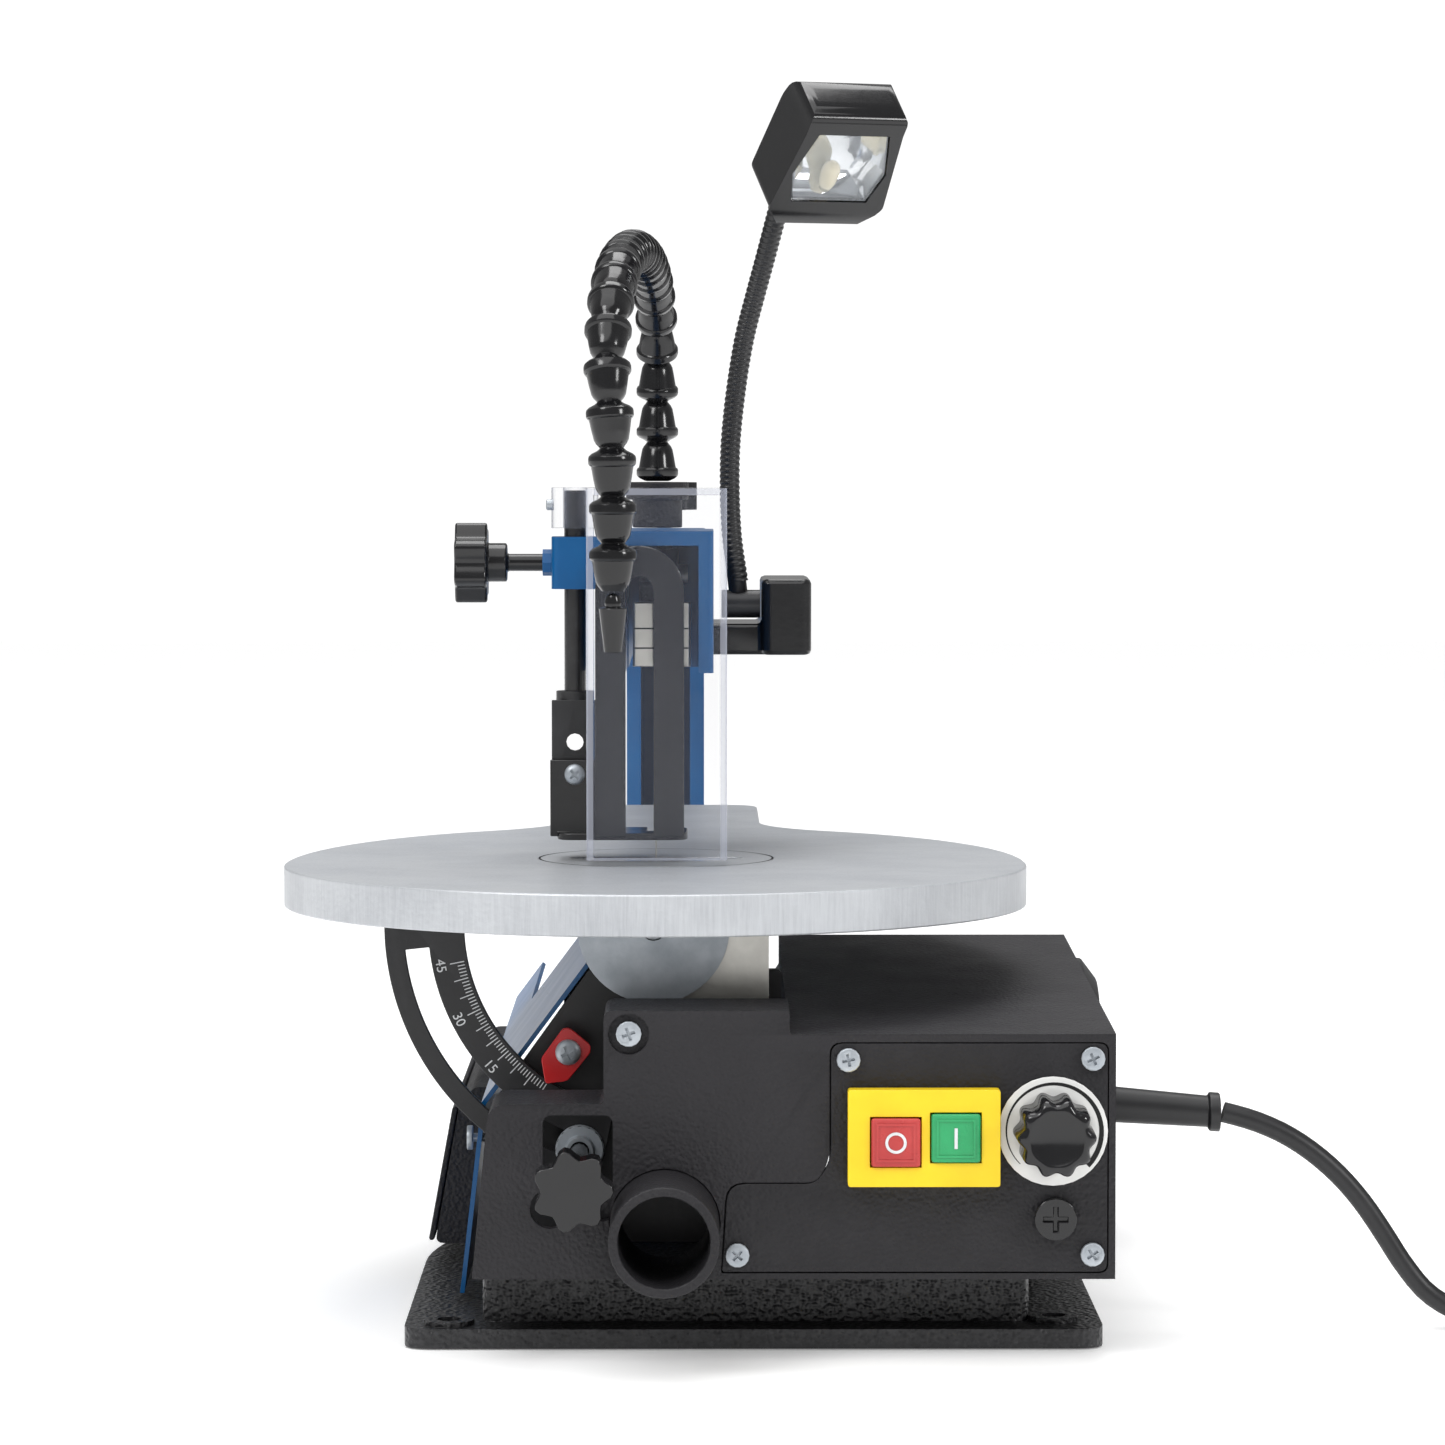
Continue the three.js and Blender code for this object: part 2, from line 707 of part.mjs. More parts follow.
// Tilting table.
function tableOutline(grow) {
  const { radius, centreY, rearLength, tailHalf, tailEnd } = table;
  const outline = new THREE.Shape();
  outline.absarc(0, centreY, radius + grow, Math.PI, 2 * Math.PI);
  const steps = 12;
  const last = 1.06; // radians round the rear curve, where the tail's fillet starts
  const edge = (angle, sign, fullness) => [
    sign * (radius + grow) * Math.cos(angle) ** fullness,
    centreY + (rearLength + grow) * Math.sin(angle) ** (2 - fullness),
  ];
  for (let i = 1; i <= steps; i += 1) outline.lineTo(...edge((last * i) / steps, 1, 1.06));
  const half = tailHalf + grow;
  const shoulder = centreY + rearLength + 12;
  outline.quadraticCurveTo(half, shoulder - 14, half, shoulder + 14);
  outline.lineTo(half, tailEnd + grow - 14);
  outline.quadraticCurveTo(half, tailEnd + grow, half - 14, tailEnd + grow);
  outline.lineTo(-half + 14, tailEnd + grow);
  outline.quadraticCurveTo(-half, tailEnd + grow, -half, tailEnd + grow - 14);
  outline.lineTo(-half, shoulder + 14);
  const [x, y] = edge(last, -1, 0.94);
  outline.quadraticCurveTo(-half, shoulder - 14, x, y);
  for (let i = steps - 1; i > 0; i -= 1) outline.lineTo(...edge((last * i) / steps, -1, 0.94));
  return outline;
}

function tableTop() {
  const { rim, sheet, insertRadius, insertThick, ledge } = table;
  const underside = tableHeight - sheet;
  const seat = tableHeight - insertThick - gap;
  return cut(
    join(
      cut(
        prism(tableOutline(0), 'z', tableHeight - rim, tableHeight, 28),
        prism(tableOutline(-sheet), 'z', tableHeight - rim - 1, underside, 28),
      ),
      round('z', seat - ledge, underside + 1, 0, 0, insertRadius + 4, 40),
    ),
    round('z', seat, tableHeight + 1, 0, 0, insertRadius + gap, 48),
    round('z', seat - ledge - 1, seat + 1, 0, 0, insertRadius - 4, 40),
  );
}

function tableInsert() {
  const { insertRadius, insertThick, slotLength, slotWidth } = table;
  const slot = rectangle(-slotLength / 2, slotLength / 2, -slotWidth / 2, slotWidth / 2, 2.9);
  return cut(
    round('z', tableHeight - insertThick, tableHeight, 0, 0, insertRadius, 48),
    prism(slot, 'z', tableHeight - 5, tableHeight + 1),
  );
}

// A half disc that hangs from the table and turns on a pin on the tilt axis.
function trunnion(radius, front, thick, hole) {
  const top = tableHeight - table.sheet - gap;
  const outline = new THREE.Shape();
  outline.absarc(0, tilt.height, radius, Math.PI, 2 * Math.PI);
  outline.lineTo(radius, top);
  outline.lineTo(-radius, top);
  return cut(
    prism(outline, 'y', front, front + thick, 14),
    round('y', front - 1, front + thick + 1, 0, tilt.height, hole, 16),
  );
}

const trunnionY = { disc: -101, support: -96.2, bracket: -79, rearDisc: 60.5, rearBracket: 64.5 };
const pinRadius = 4;

function trunnionSupport() {
  const bottom = tilt.height - 26;
  const top = tableHeight - 8;
  const plate = new THREE.Shape();
  plate.absarc(0, tilt.height, 8, Math.PI / 2, Math.PI);
  plate.lineTo(-2, bottom);
  plate.lineTo(38, bottom);
  plate.lineTo(38, top);
  plate.lineTo(0, top);
  return cut(
    join(
      prism(plate, 'y', trunnionY.support, trunnionY.support + 3),
      box(-2, 38, trunnionY.support + 2, trunnionY.bracket - gap, bottom, bottom + 3),
    ),
    round('y', -120, -80, 0, tilt.height, pinRadius + gap),
  );
}

function frontBracket() {
  const foot = base.plateau + gap;
  const outline = rounded([
    [-59.5, foot],
    [42.5, foot],
    [42.5, tilt.height - 16, 2],
    [-21.8, tilt.height - 16, 1],
    [bend.ridgeX + 3.2, bend.ridgeZ - 1],
  ]);
  const { bracket } = trunnionY;
  return cut(
    join(
      prism(outline, 'y', bracket, bracket + 4),
      box(-54, 42.5, bracket, bracket + 22, foot, foot + 4),
    ),
    round('y', bracket - 1, bracket + 6, lockPoint.x, lockPoint.z, lock.shaft + runningGap),
  );
}

function rearBracket() {
  const foot = base.plateau + gap;
  const outline = rounded([
    [-34, foot],
    [34, foot],
    [34, tilt.height - 16, 4],
    [12, tilt.height + 7, 4],
    [-6, tilt.height + 5, 5],
    [-17, tilt.height - 15, 4],
    [-34, bend.ridgeZ + 23.5, 4],
  ]);
  const { rearBracket: front, rearDisc } = trunnionY;
  return join(
    cut(prism(outline, 'y', front, front + 5), box(-11, 11, front - 1, front + 6, 0, arms.lowerZ + arms.height)),
    round('y', rearDisc - 1, front + 1, 0, tilt.height, 3.6),
  );
}

function tiltScale() {
  const { inner, outer, slot, front, thick } = scale;
  const down = (degrees) => -Math.PI / 2 - (degrees * Math.PI) / 180;
  const band = new THREE.Shape();
  band.absarc(0, tilt.height, outer, down(12), Math.PI, true);
  band.lineTo(-outer, tableHeight - table.sheet - gap);
  band.lineTo(-inner, tableHeight - table.sheet - gap);
  band.absarc(0, tilt.height, inner, -Math.PI, down(12), false);
  const way = new THREE.Shape();
  way.absarc(0, tilt.height, lock.radius + slot / 2, down(15.2), down(84), true);
  way.absarc(0, tilt.height, lock.radius - slot / 2, down(84), down(15.2), false);
  const rimInside = round('z', 0, tableHeight, 0, table.centreY, table.radius - table.sheet - gap, 96);
  return cut(
    prism(band, 'y', front, front + thick, 24).intersect(rimInside),
    prism(way, 'y', front - 1, front + thick + 1, 20),
  );
}

function tiltPointer() {
  const kite = rounded([
    [-36, tilt.height - 52.9, 1],
    [-28.6, tilt.height - 51.9, 1],
    [-21, tilt.height - 42.5, 1],
    [-21, tilt.height - 40, 1],
    [-28, tilt.height - 34.2, 1],
    [-30.2, tilt.height - 34.4, 1],
    [-37.4, tilt.height - 44.4, 1],
  ]);
  const boss = round('y', -90, trunnionY.bracket - gap, -28.6, tilt.height - 42, 4);
  return join(prism(kite, 'y', -91, -89.2, 2), boss);
}

function tiltLockKnob() {
  const front = housing.front - 32;
  return join(
    prism(lobed(lockPoint.x, lockPoint.z, 13, 7, 3), 'y', front, front + 12),
    round('y', front + 11, front + 22, lockPoint.x, lockPoint.z, 6.5),
    round('y', front + 21, trunnionY.bracket + 12, lockPoint.x, lockPoint.z, lock.shaft, 12),
    round('y', scale.front - 3, scale.front - gap, lockPoint.x, lockPoint.z, 8),
  );
}

// Hold-down: rod, bracket, ski foot and finger bow, clamped by the knob on the arm's boss.
const shoe = { left: -34, right: 11, front: -18, back: 12, bottom: tableHeight + 7.5, thick: 2.4 };

function holdDownBracket() {
  return cut(
    join(
      round('z', rod.bottom - 3, rod.bottom + 9, rod.x, rod.y, 6.6, 16),
      box(-36, -21, -10.6, -8, shoe.bottom + 11.5, rod.bottom + 6),
    ),
    round('z', rod.bottom - gap, rod.bottom + 10, rod.x, rod.y, rod.radius + gap, 20),
    round('y', -12, -7, rod.x, rod.bottom - 8.5, 3, 12),
  );
}

function holdDownFoot() {
  const { left, right, front, back, bottom, thick } = shoe;
  return cut(
    join(
      prism(rectangle(left, right, front, back, 6), 'z', bottom, bottom + thick),
      box(-36.5, -20.5, -13.3, -10.9, bottom + 1, rod.bottom - 14.5),
    ),
    box(-3, 3, -6, back + 1, bottom - 1, bottom + thick + 1),
  );
}

function fingerBow() {
  const x = -5.5;
  const outer = 15.3;
  const inner = 4.8;
  const spring = frame.armTop - 5 - outer;
  const bow = new THREE.Shape();
  bow.moveTo(x - outer, shoe.bottom + 1);
  bow.lineTo(x - inner, shoe.bottom + 1);
  bow.lineTo(x - inner, spring);
  bow.absarc(x, spring, inner, Math.PI, 0, true);
  bow.lineTo(x + inner, shoe.bottom + 1);
  bow.lineTo(x + outer, shoe.bottom + 1);
  bow.lineTo(x + outer, spring);
  bow.absarc(x, spring, outer, 0, Math.PI, false);
  return prism(bow, 'y', shoe.front - 1.8, shoe.front - gap, 10);
}

function holdDownKnob() {
  const { studZ } = clampBoss;
  return join(
    prism(lobed(rod.y, studZ, 14.25, 7, 3), 'x', -69.4, -58.3),
    round('x', -58.4, -51.5, rod.y, studZ, 6.75),
    round('x', -52, rod.x - rod.radius - gap, rod.y, studZ, 3, 12),
  );
}

function bladeGuard() {
  const { left, right, front, back, bottom, top, wall } = guard;
  const ear = { left: -36, right: -20, bottom: clampBoss.top + 3 };
  return cut(
    join(
      cut(
        prism(rectangle(left, right, front, back, 2), 'z', bottom, top),
        box(left + wall, right - wall, front + wall, back + 3, bottom - 1, top - wall),
      ),
      box(left, left + wall, back - 2, rod.y + 8, ear.bottom, top),
      prism(rectangle(ear.left, ear.right, rod.y - 8, rod.y + 8, 2), 'z', ear.bottom, top),
    ),
    round('z', ear.bottom - 1, top + 1, rod.x, rod.y, rod.radius + runningGap, 20),
  );
}

// Air line: a blower on the arm, a jointed hose and its nozzle.
const hose = { footY: 181, footZ: frame.armTop + 16, pitch: 15.5, bead: 7.95, neck: 4.4 };
const hosePath = [
  [-1, 181, 0],
  [-1, 181, 19],
  [-1, 180, 39],
  [-1, 173, 57],
  [-2, 152, 71],
  [-4, 112, 79.5],
  [-7, 60, 82.5],
  [-10, 10, 80],
  [-13, -36, 71.5],
  [-15, -66, 57],
  [-15.5, -80, 38],
  [-14, -84, 18],
  [-13.5, -84, -9],
  [-13.5, -84, -35],
].map(([x, y, rise]) => [x, y, hose.footZ + rise]);

function airPump() {
  const radius = 9.5;
  const seat = armTopAt(hose.footY - radius) + gap;
  return join(
    round('z', seat, hose.footZ - 6, -1, hose.footY, radius, 20),
    round('z', hose.footZ - 7, hose.footZ - gap, -1, hose.footY, 12, 20),
  );
}

// Straight beads are turned first, and then each ring of points is carried onto the path.
function airHose() {
  const path = new THREE.CatmullRomCurve3(
    hosePath.map((p) => new THREE.Vector3(...p)),
    false,
    'centripetal',
  );
  const count = Math.round(path.getLength() / hose.pitch);
  const pitch = 1 / count;
  const profile = [new THREE.Vector2(0, 0)];
  for (let i = 0; i < count; i += 1) {
    profile.push(new THREE.Vector2(hose.neck, i * pitch + (i ? 0 : 1e-4)));
    profile.push(new THREE.Vector2(hose.bead, (i + 0.16) * pitch));
    profile.push(new THREE.Vector2(hose.bead * 0.92, (i + 0.36) * pitch));
    profile.push(new THREE.Vector2(hose.neck, (i + 0.8) * pitch));
  }
  profile.push(new THREE.Vector2(hose.neck, 1 - 1e-4), new THREE.Vector2(0, 1));
  const beads = new THREE.LatheGeometry(profile, 10);
  const places = beads.attributes.position;
  const across = new THREE.Vector3(1, 0, 0);
  for (let i = 0; i < places.count; i += 1) {
    const share = Math.min(Math.max(places.getY(i), 0), 1);
    const along = path.getTangentAt(share);
    const sideways = across.clone().addScaledVector(along, -along.x).normalize();
    const up = new THREE.Vector3().crossVectors(along, sideways);
    const spot = path.getPointAt(share);
    spot.addScaledVector(sideways, places.getX(i)).addScaledVector(up, -places.getZ(i));
    places.setXYZ(i, spot.x, spot.y, spot.z);
  }
  return solid(beads);
}

function airNozzle() {
  const [x, y, z] = hosePath[hosePath.length - 1];
  return turned(
    [
      [0, z - 20],
      [2.95, z - 20],
      [4.75, z - 5.4],
      [2.6, z - 4.8],
      [2.9, z - 3.2],
      [2.2, z - 1],
      [0, z - gap],
    ],
    'z',
    x,
    y,
    16,
  );
}

// Lamp: a box on the arm's side, a gooseneck on a barrel hinge, and the head.
const neckPath = [
  [29, 52, 4],
  [26.6, 53, 26],
  [26, 54, 51],
  [27.4, 54, 70],
  [31, 52, 94],
  [35, 48, 110],
  [38.5, 43.5, 123],
].map(([x, y, rise]) => [x, y, lamp.hingeZ + rise]);
const headAxis = new THREE.Vector3(0.28, -0.65, 0.706).normalize();
const headAcross = new THREE.Vector3(-0.65, -0.28, 0).normalize();
const headBack = new THREE.Vector3().crossVectors(headAcross, headAxis);
const lensFoot = new THREE.Vector3(57.2, 35, 369.5); // middle of the lens face's lower edge

// Local X runs across the head to its left, Y from the neck to the cap, Z from the lens to the back.
const headPlace = new THREE.Matrix4()
  .makeBasis(headAcross, headAxis, headBack)
  .setPosition(lensFoot);
const neckBall = { across: 12, along: 2, back: 11, radius: 4.2 };
const ballPlace = new THREE.Vector3(neckBall.across, neckBall.along, neckBall.back).applyMatrix4(
  headPlace,
);
neckPath.push(ballPlace.toArray());

function lampBase() {
  const right = 55;
  const under = lamp.hingeZ - 18;
  return join(
    prism(rectangle(37.2, right, 42, 102, 4), 'z', under, lamp.hingeZ + 9),
    box(frame.right + gap, 40, 46, 98, under, lamp.hingeZ - 5 - 2),
  );
}

function lampNeck() {
  return join(
    round('x', 23, 36.8, lamp.hingeY, lamp.hingeZ, 5, 16),
    tube(neckPath, 3.5, 24, 10),
    solid(new THREE.SphereGeometry(neckBall.radius, 10, 8).translate(...ballPlace)),
  );
}

const lampWindow = [
  [13.5, 43],
  [18, 25],
  [14.5, 12],
  [-14.5, 12],
  [-18, 25],
  [-13.5, 43],
];
const lensDepth = 12;

function placed(body) {
  const { vertProperties, triVerts } = body.getMesh();
  const geometry = new THREE.BufferGeometry();
  geometry.setAttribute('position', new THREE.BufferAttribute(new Float32Array(vertProperties), 3));
  geometry.setIndex(new THREE.BufferAttribute(new Uint32Array(triVerts), 1));
  return solid(geometry.applyMatrix4(headPlace));
}

function lampHead() {
  const { headLength, headWidth, headWide, headThick } = lamp;
  const half = headWidth / 2;
  const wide = headWide / 2;
  const sideView = rounded([
    [0, 2],
    [6, 0],
    [headLength - 2, 0, 2],
    [headLength, 5, 3],
    [headLength, headThick - 6, 7],
    [headLength - 9, headThick, 7],
    [6, headThick - 3, 5],
    [-3, headThick - 9, 4],
  ]);
  const plan = rounded([
    [half, headLength, 6],
    [half, 43],
    [wide, 9, 1.5],
    [13, -4, 1.5],
    [-13, -4, 1.5],
    [-wide, 9, 1.5],
    [-half, 43],
    [-half, headLength, 6],
  ]);
  const body = prism(sideView, 'x', -wide, wide).intersect(prism(plan, 'z', -1, headThick + 1));
  const { across, along, back, radius } = neckBall;
  const socket = solid(
    new THREE.SphereGeometry(radius + runningGap, 14, 10).translate(across, along, back),
  );
  const mouth = new THREE.CylinderGeometry(4.4, 8.5, 18, 16).translate(0, -9, 0);
  const away = new THREE.Vector3(...neckPath[neckPath.length - 2]).applyMatrix4(
    headPlace.clone().invert(),
  );
  away.sub(new THREE.Vector3(across, along, back)).negate().normalize();
  mouth.applyQuaternion(new THREE.Quaternion().setFromUnitVectors(new THREE.Vector3(0, 1, 0), away));
  mouth.translate(across, along, back);
  return placed(
    cut(body, prism(rounded(lampWindow), 'z', -1, lensDepth), socket, solid(mouth)),
  );
}

function lampLens() {
  const shrink = 0.97; // room round the lens
  const outline = lampWindow.map(([u, v]) => [u * shrink, 27 + (v - 27) * shrink]);
  return placed(prism(rounded(outline), 'z', 0.4, 1.6));
}

// Mains lead: strain relief, the loose lead, its stored coil and the plug.
const exit = { y: -93, z: 74.8 };
const cordRoute = [
  [188.6, -93, 71.9],
  [194, -93, 70.5],
  [200, -93, 68.6],
  [209, -93, 64.6],
  [218, -93, 58.8],
  [227, -93, 51],
  [235, -93, 41.8],
  [242, -93, 31.6],
  [249, -93.2, 20.8],
  [256.5, -94, 11.9],
  [265, -95.6, 6.6],
  [274, -98.8, 4.2],
  [284, -103.4, 3.7],
  [294, -107.8, 3.7],
  [304, -110.9, 3.7],
  [313, -112.2, 3.7],
  [322, -112.5, 3.7],
];

function strainRelief() {
  const from = housing.right + gap;
  const tip = cordRoute[0][0] - 4 * gap;
  const body = turned(
    [
      [0, from],
      [8, from],
      [8, from + 3],
      [6, from + 3.5],
      [5.25, tip - 4],
      [6.5, tip - 3.5],
      [6.5, tip],
      [0, tip],
    ],
    'x',
    exit.y,
    exit.z,
    14,
  );
  const droop = new THREE.Matrix4().set(
    1, 0, 0, 0,
    0, 1, 0, 0,
    -0.075, 0, 1, 0.075 * from,
    0, 0, 0, 1,
  );
  const { vertProperties, triVerts } = body.getMesh();
  const geometry = new THREE.BufferGeometry();
  geometry.setAttribute('position', new THREE.BufferAttribute(new Float32Array(vertProperties), 3));
  geometry.setIndex(new THREE.BufferAttribute(new Uint32Array(triVerts), 1));
  return solid(geometry.applyMatrix4(droop));
}

function coilRing(grow) {
  const { coilX, coilY, coilMiddle, coilHalf, coilHeight } = cord;
  return turned(
    [
      [coilMiddle - coilHalf - grow, 0.1 - grow],
      [coilMiddle + coilHalf + grow, 0.1 - grow],
      [coilMiddle + coilHalf + grow, coilHeight + grow],
      [coilMiddle - coilHalf - grow, coilHeight + grow],
      [coilMiddle - coilHalf - grow, 0.1 - grow],
    ],
    'z',
    coilX,
    coilY,
    32,
  );
}

const powerCord = () => cut(tube(cordRoute, cord.radius, 78, 8), coilRing(gap));

// The plug lies beside the coil, on the line that the coil's last turn leaves along.
const plug = { x: cord.coilX + cord.coilMiddle + cord.radius, z: 19.2, start: cord.coilY + 26.9 };
function mainsPlug() {
  const { start, x, z } = plug;
  const pin = (dx) => round('y', start + 47, start + 67, x + dx, z, 2.4, 10);
  return join(
    turned(
      [
        [0, start],
        [4.6, start],
        [6.4, start + 20],
        [13, start + 24],
        [19, start + 36],
        [19, start + 48],
        [0, start + 48],
      ],
      'y',
      x,
      z,
      20,
    ),
    pin(-9.5),
    pin(9.5),
  );
}

piece('base_casting', baseCasting(), casting);
piece('lower_housing', lowerHousing(), plastic);
piece('control_cover', controlCover(), plastic);
coverScrews.forEach(([x, z], i) =>
  piece(`cover_screw_${i + 1}`, screw('y', housing.front, x, z, 3.85), zinc),
);
piece('housing_screw', screw('y', housing.front + 2, -7.5, 105, 4.1), zinc);
piece('dust_port', dustPort(), plastic);
piece('switch_bezel', switchBezel(), yellow);
buttons.forEach((button) => piece(button.name, buttonCap(button), button.material));
piece('speed_dial_plate', speedDialPlate(), white);
piece('speed_knob', speedKnob(), gloss);
piece('fuse_cap', fuseCap(), gloss);
piece('side_cover', sideCover(), blue);
piece('side_cover_screw', screw('x', -60.5, side.front + 6, 61, 4.1), zinc);
piece('storage_box', storageBox(), plastic);
piece('storage_lid', storageLid(), plastic);
piece('c_frame', cFrame(), blue);
piece('upper_pivot_pin', pivotPin(arms.upperZ), steel);
piece('lower_pivot_pin', pivotPin(arms.lowerZ), steel);
piece('upper_arm', rockerArm(arms.upperZ, clampReach + gap), casting);
piece('lower_arm', lowerArm(), casting);
piece('upper_clamp', bladeClamp(-8, 12, bladeTop - 6, bladeTop + 16, bladeTop - pinInset), steel);
piece('lower_clamp', bladeClamp(-7, 7, blade.bottom - 9, blade.bottom + 8, blade.bottom + pinInset), steel);
piece('saw_blade', sawBlade(), steel);
piece('tension_rod', tensionRod(), zinc);
piece('tension_knob', tensionKnob(), gloss);
piece('motor', motor(), casting);
piece('crank_shaft', crankShaft(), steel);
piece('connecting_rod', connectingRod(), steel);
piece('table_top', tableTop(), zinc);
piece('table_insert', tableInsert(), zinc);
piece('front_trunnion', trunnion(25, trunnionY.disc, 3, pinRadius + gap), zinc);
piece('rear_trunnion', trunnion(20, trunnionY.rearDisc, 3, 4), zinc);
piece('tilt_scale', tiltScale(), casting);
piece('trunnion_support', trunnionSupport(), steel);
piece('trunnion_pin', round('y', trunnionY.disc - 1, trunnionY.support + 4, 0, tilt.height, pinRadius), steel);
piece('front_bracket', frontBracket(), casting);
piece('rear_bracket', rearBracket(), casting);
piece('tilt_pointer', tiltPointer(), red);
piece('tilt_lock_knob', tiltLockKnob(), gloss);
piece('hold_down_rod', round('z', rod.bottom, rod.top, rod.x, rod.y, rod.radius, 20), steel);
piece('hold_down_bracket', holdDownBracket(), casting);
piece('hold_down_foot', holdDownFoot(), gloss);
piece('finger_bow', fingerBow(), casting);
piece('hold_down_knob', holdDownKnob(), gloss);
piece('blade_guard', bladeGuard(), clear);
piece('air_pump', airPump(), plastic);
piece('air_hose', airHose(), gloss);
piece('air_nozzle', airNozzle(), gloss);
piece('lamp_base', lampBase(), gloss);
piece('lamp_neck', lampNeck(), gloss);
piece('lamp_head', lampHead(), gloss);
piece('lamp_lens', lampLens(), clear);
piece('strain_relief', strainRelief(), gloss);
piece('power_cord', powerCord(), gloss);
piece('cord_coil', coilRing(0), gloss);
piece('mains_plug', mainsPlug(), gloss);

export default group;
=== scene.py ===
import json
import math
import bmesh
import bpy
from mathutils import Matrix, Vector

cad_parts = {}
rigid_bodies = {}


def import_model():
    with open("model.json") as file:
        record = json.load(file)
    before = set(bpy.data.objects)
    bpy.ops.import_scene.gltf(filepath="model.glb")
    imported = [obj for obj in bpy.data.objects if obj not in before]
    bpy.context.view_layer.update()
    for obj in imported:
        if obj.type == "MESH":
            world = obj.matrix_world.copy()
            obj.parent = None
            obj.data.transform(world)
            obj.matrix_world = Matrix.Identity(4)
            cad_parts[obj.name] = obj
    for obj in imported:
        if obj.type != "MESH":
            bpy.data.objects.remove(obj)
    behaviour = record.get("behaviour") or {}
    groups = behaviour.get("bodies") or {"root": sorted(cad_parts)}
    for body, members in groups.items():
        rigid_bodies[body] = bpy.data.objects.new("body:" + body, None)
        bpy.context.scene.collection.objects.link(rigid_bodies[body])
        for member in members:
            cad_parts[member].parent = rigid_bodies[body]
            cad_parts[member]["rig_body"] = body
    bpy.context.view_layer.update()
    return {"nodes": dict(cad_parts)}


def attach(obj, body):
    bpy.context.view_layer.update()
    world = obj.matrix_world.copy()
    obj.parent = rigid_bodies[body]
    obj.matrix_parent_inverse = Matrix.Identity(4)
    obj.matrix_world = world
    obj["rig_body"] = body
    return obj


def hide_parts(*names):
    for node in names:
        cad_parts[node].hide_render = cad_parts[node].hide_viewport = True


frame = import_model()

millimetre = 0.001

cameraSettings = {
    "place": (0.0153, -1.773, 0.291),
    "pitchDown": 3.06,
    "yawRight": 0.253,
    "lens": 127.06,
    "sensor": 36.0,
    "farthest": 30.0,
}


def makeCamera(settings):
    data = bpy.data.cameras.new("studioCamera")
    data.lens = settings["lens"]
    data.sensor_width = settings["sensor"]
    data.clip_end = settings["farthest"]
    camera = bpy.data.objects.new("studioCamera", data)
    camera.location = settings["place"]
    camera.rotation_euler = (math.radians(90 - settings["pitchDown"]), 0, math.radians(-settings["yawRight"]))
    bpy.context.scene.collection.objects.link(camera)
    bpy.context.scene.camera = camera


makeCamera(cameraSettings)
print("camera placed")


def makeEffect(name, inputs, outputs):
    group = bpy.data.node_groups.new(name, "ShaderNodeTree")
    for label, kind, value in inputs:
        socket = group.interface.new_socket(label, in_out="INPUT", socket_type=kind)
        if value is not None:
            socket.default_value = value
    for label, kind in outputs:
        group.interface.new_socket(label, in_out="OUTPUT", socket_type=kind)
    start = group.nodes.new("NodeGroupInput")
    end = group.nodes.new("NodeGroupOutput")
    return group, start, end


def addNode(tree, kind, links=None, **values):
    node = tree.nodes.new(kind)
    for key, value in values.items():
        if key.startswith("at"):
            node.inputs[key[2:].replace("_", " ")].default_value = value
        else:
            setattr(node, key, value)
    for socket, source in (links or {}).items():
        tree.links.new(source, node.inputs[socket])
    return node


def makeToneEffect():
    group, start, end = makeEffect(
        "toneShift",
        [("Vector", "NodeSocketVector", None), ("Color", "NodeSocketColor", (0.5, 0.5, 0.5, 1)),
         ("Shade", "NodeSocketColor", (0.4, 0.4, 0.4, 1)), ("Scale", "NodeSocketFloat", 30.0),
         ("Smooth", "NodeSocketFloat", 0.3), ("Rough", "NodeSocketFloat", 0.5)],
        [("Color", "NodeSocketColor"), ("Roughness", "NodeSocketFloat")])
    noise = addNode(group, "ShaderNodeTexNoise",
                    {"Vector": start.outputs["Vector"], "Scale": start.outputs["Scale"]},
                    atDetail=5.0, atRoughness=0.6)
    spread = addNode(group, "ShaderNodeMapRange", {"Value": noise.outputs["Fac"]})
    spread.inputs["From Min"].default_value = 0.3
    spread.inputs["From Max"].default_value = 0.7
    mix = addNode(group, "ShaderNodeMix", {}, data_type="RGBA")
    group.links.new(spread.outputs["Result"], mix.inputs["Factor"])
    group.links.new(start.outputs["Color"], mix.inputs[6])
    group.links.new(start.outputs["Shade"], mix.inputs[7])
    rough = addNode(group, "ShaderNodeMapRange",
                    {"Value": noise.outputs["Fac"], "To Min": start.outputs["Smooth"],
                     "To Max": start.outputs["Rough"]})
    group.links.new(mix.outputs[2], end.inputs["Color"])
    group.links.new(rough.outputs["Result"], end.inputs["Roughness"])
    return group


def makeGrainEffect():  # fine moulded or cast skin
    group, start, end = makeEffect(
        "surfaceGrain",
        [("Vector", "NodeSocketVector", None), ("Scale", "NodeSocketFloat", 600.0),
         ("Lumps", "NodeSocketFloat", 0.5)],
        [("Height", "NodeSocketFloat")])
    noise = addNode(group, "ShaderNodeTexNoise",
                    {"Vector": start.outputs["Vector"], "Scale": start.outputs["Scale"]},
                    atDetail=3.0, atRoughness=0.55)
    cells = addNode(group, "ShaderNodeTexVoronoi",
                    {"Vector": start.outputs["Vector"], "Scale": start.outputs["Scale"]}, feature="SMOOTH_F1")
    mix = addNode(group, "ShaderNodeMix", {"Factor": start.outputs["Lumps"]}, data_type="FLOAT")
    group.links.new(noise.outputs["Fac"], mix.inputs[2])
    group.links.new(cells.outputs["Distance"], mix.inputs[3])
    group.links.new(mix.outputs[0], end.inputs["Height"])
    return group


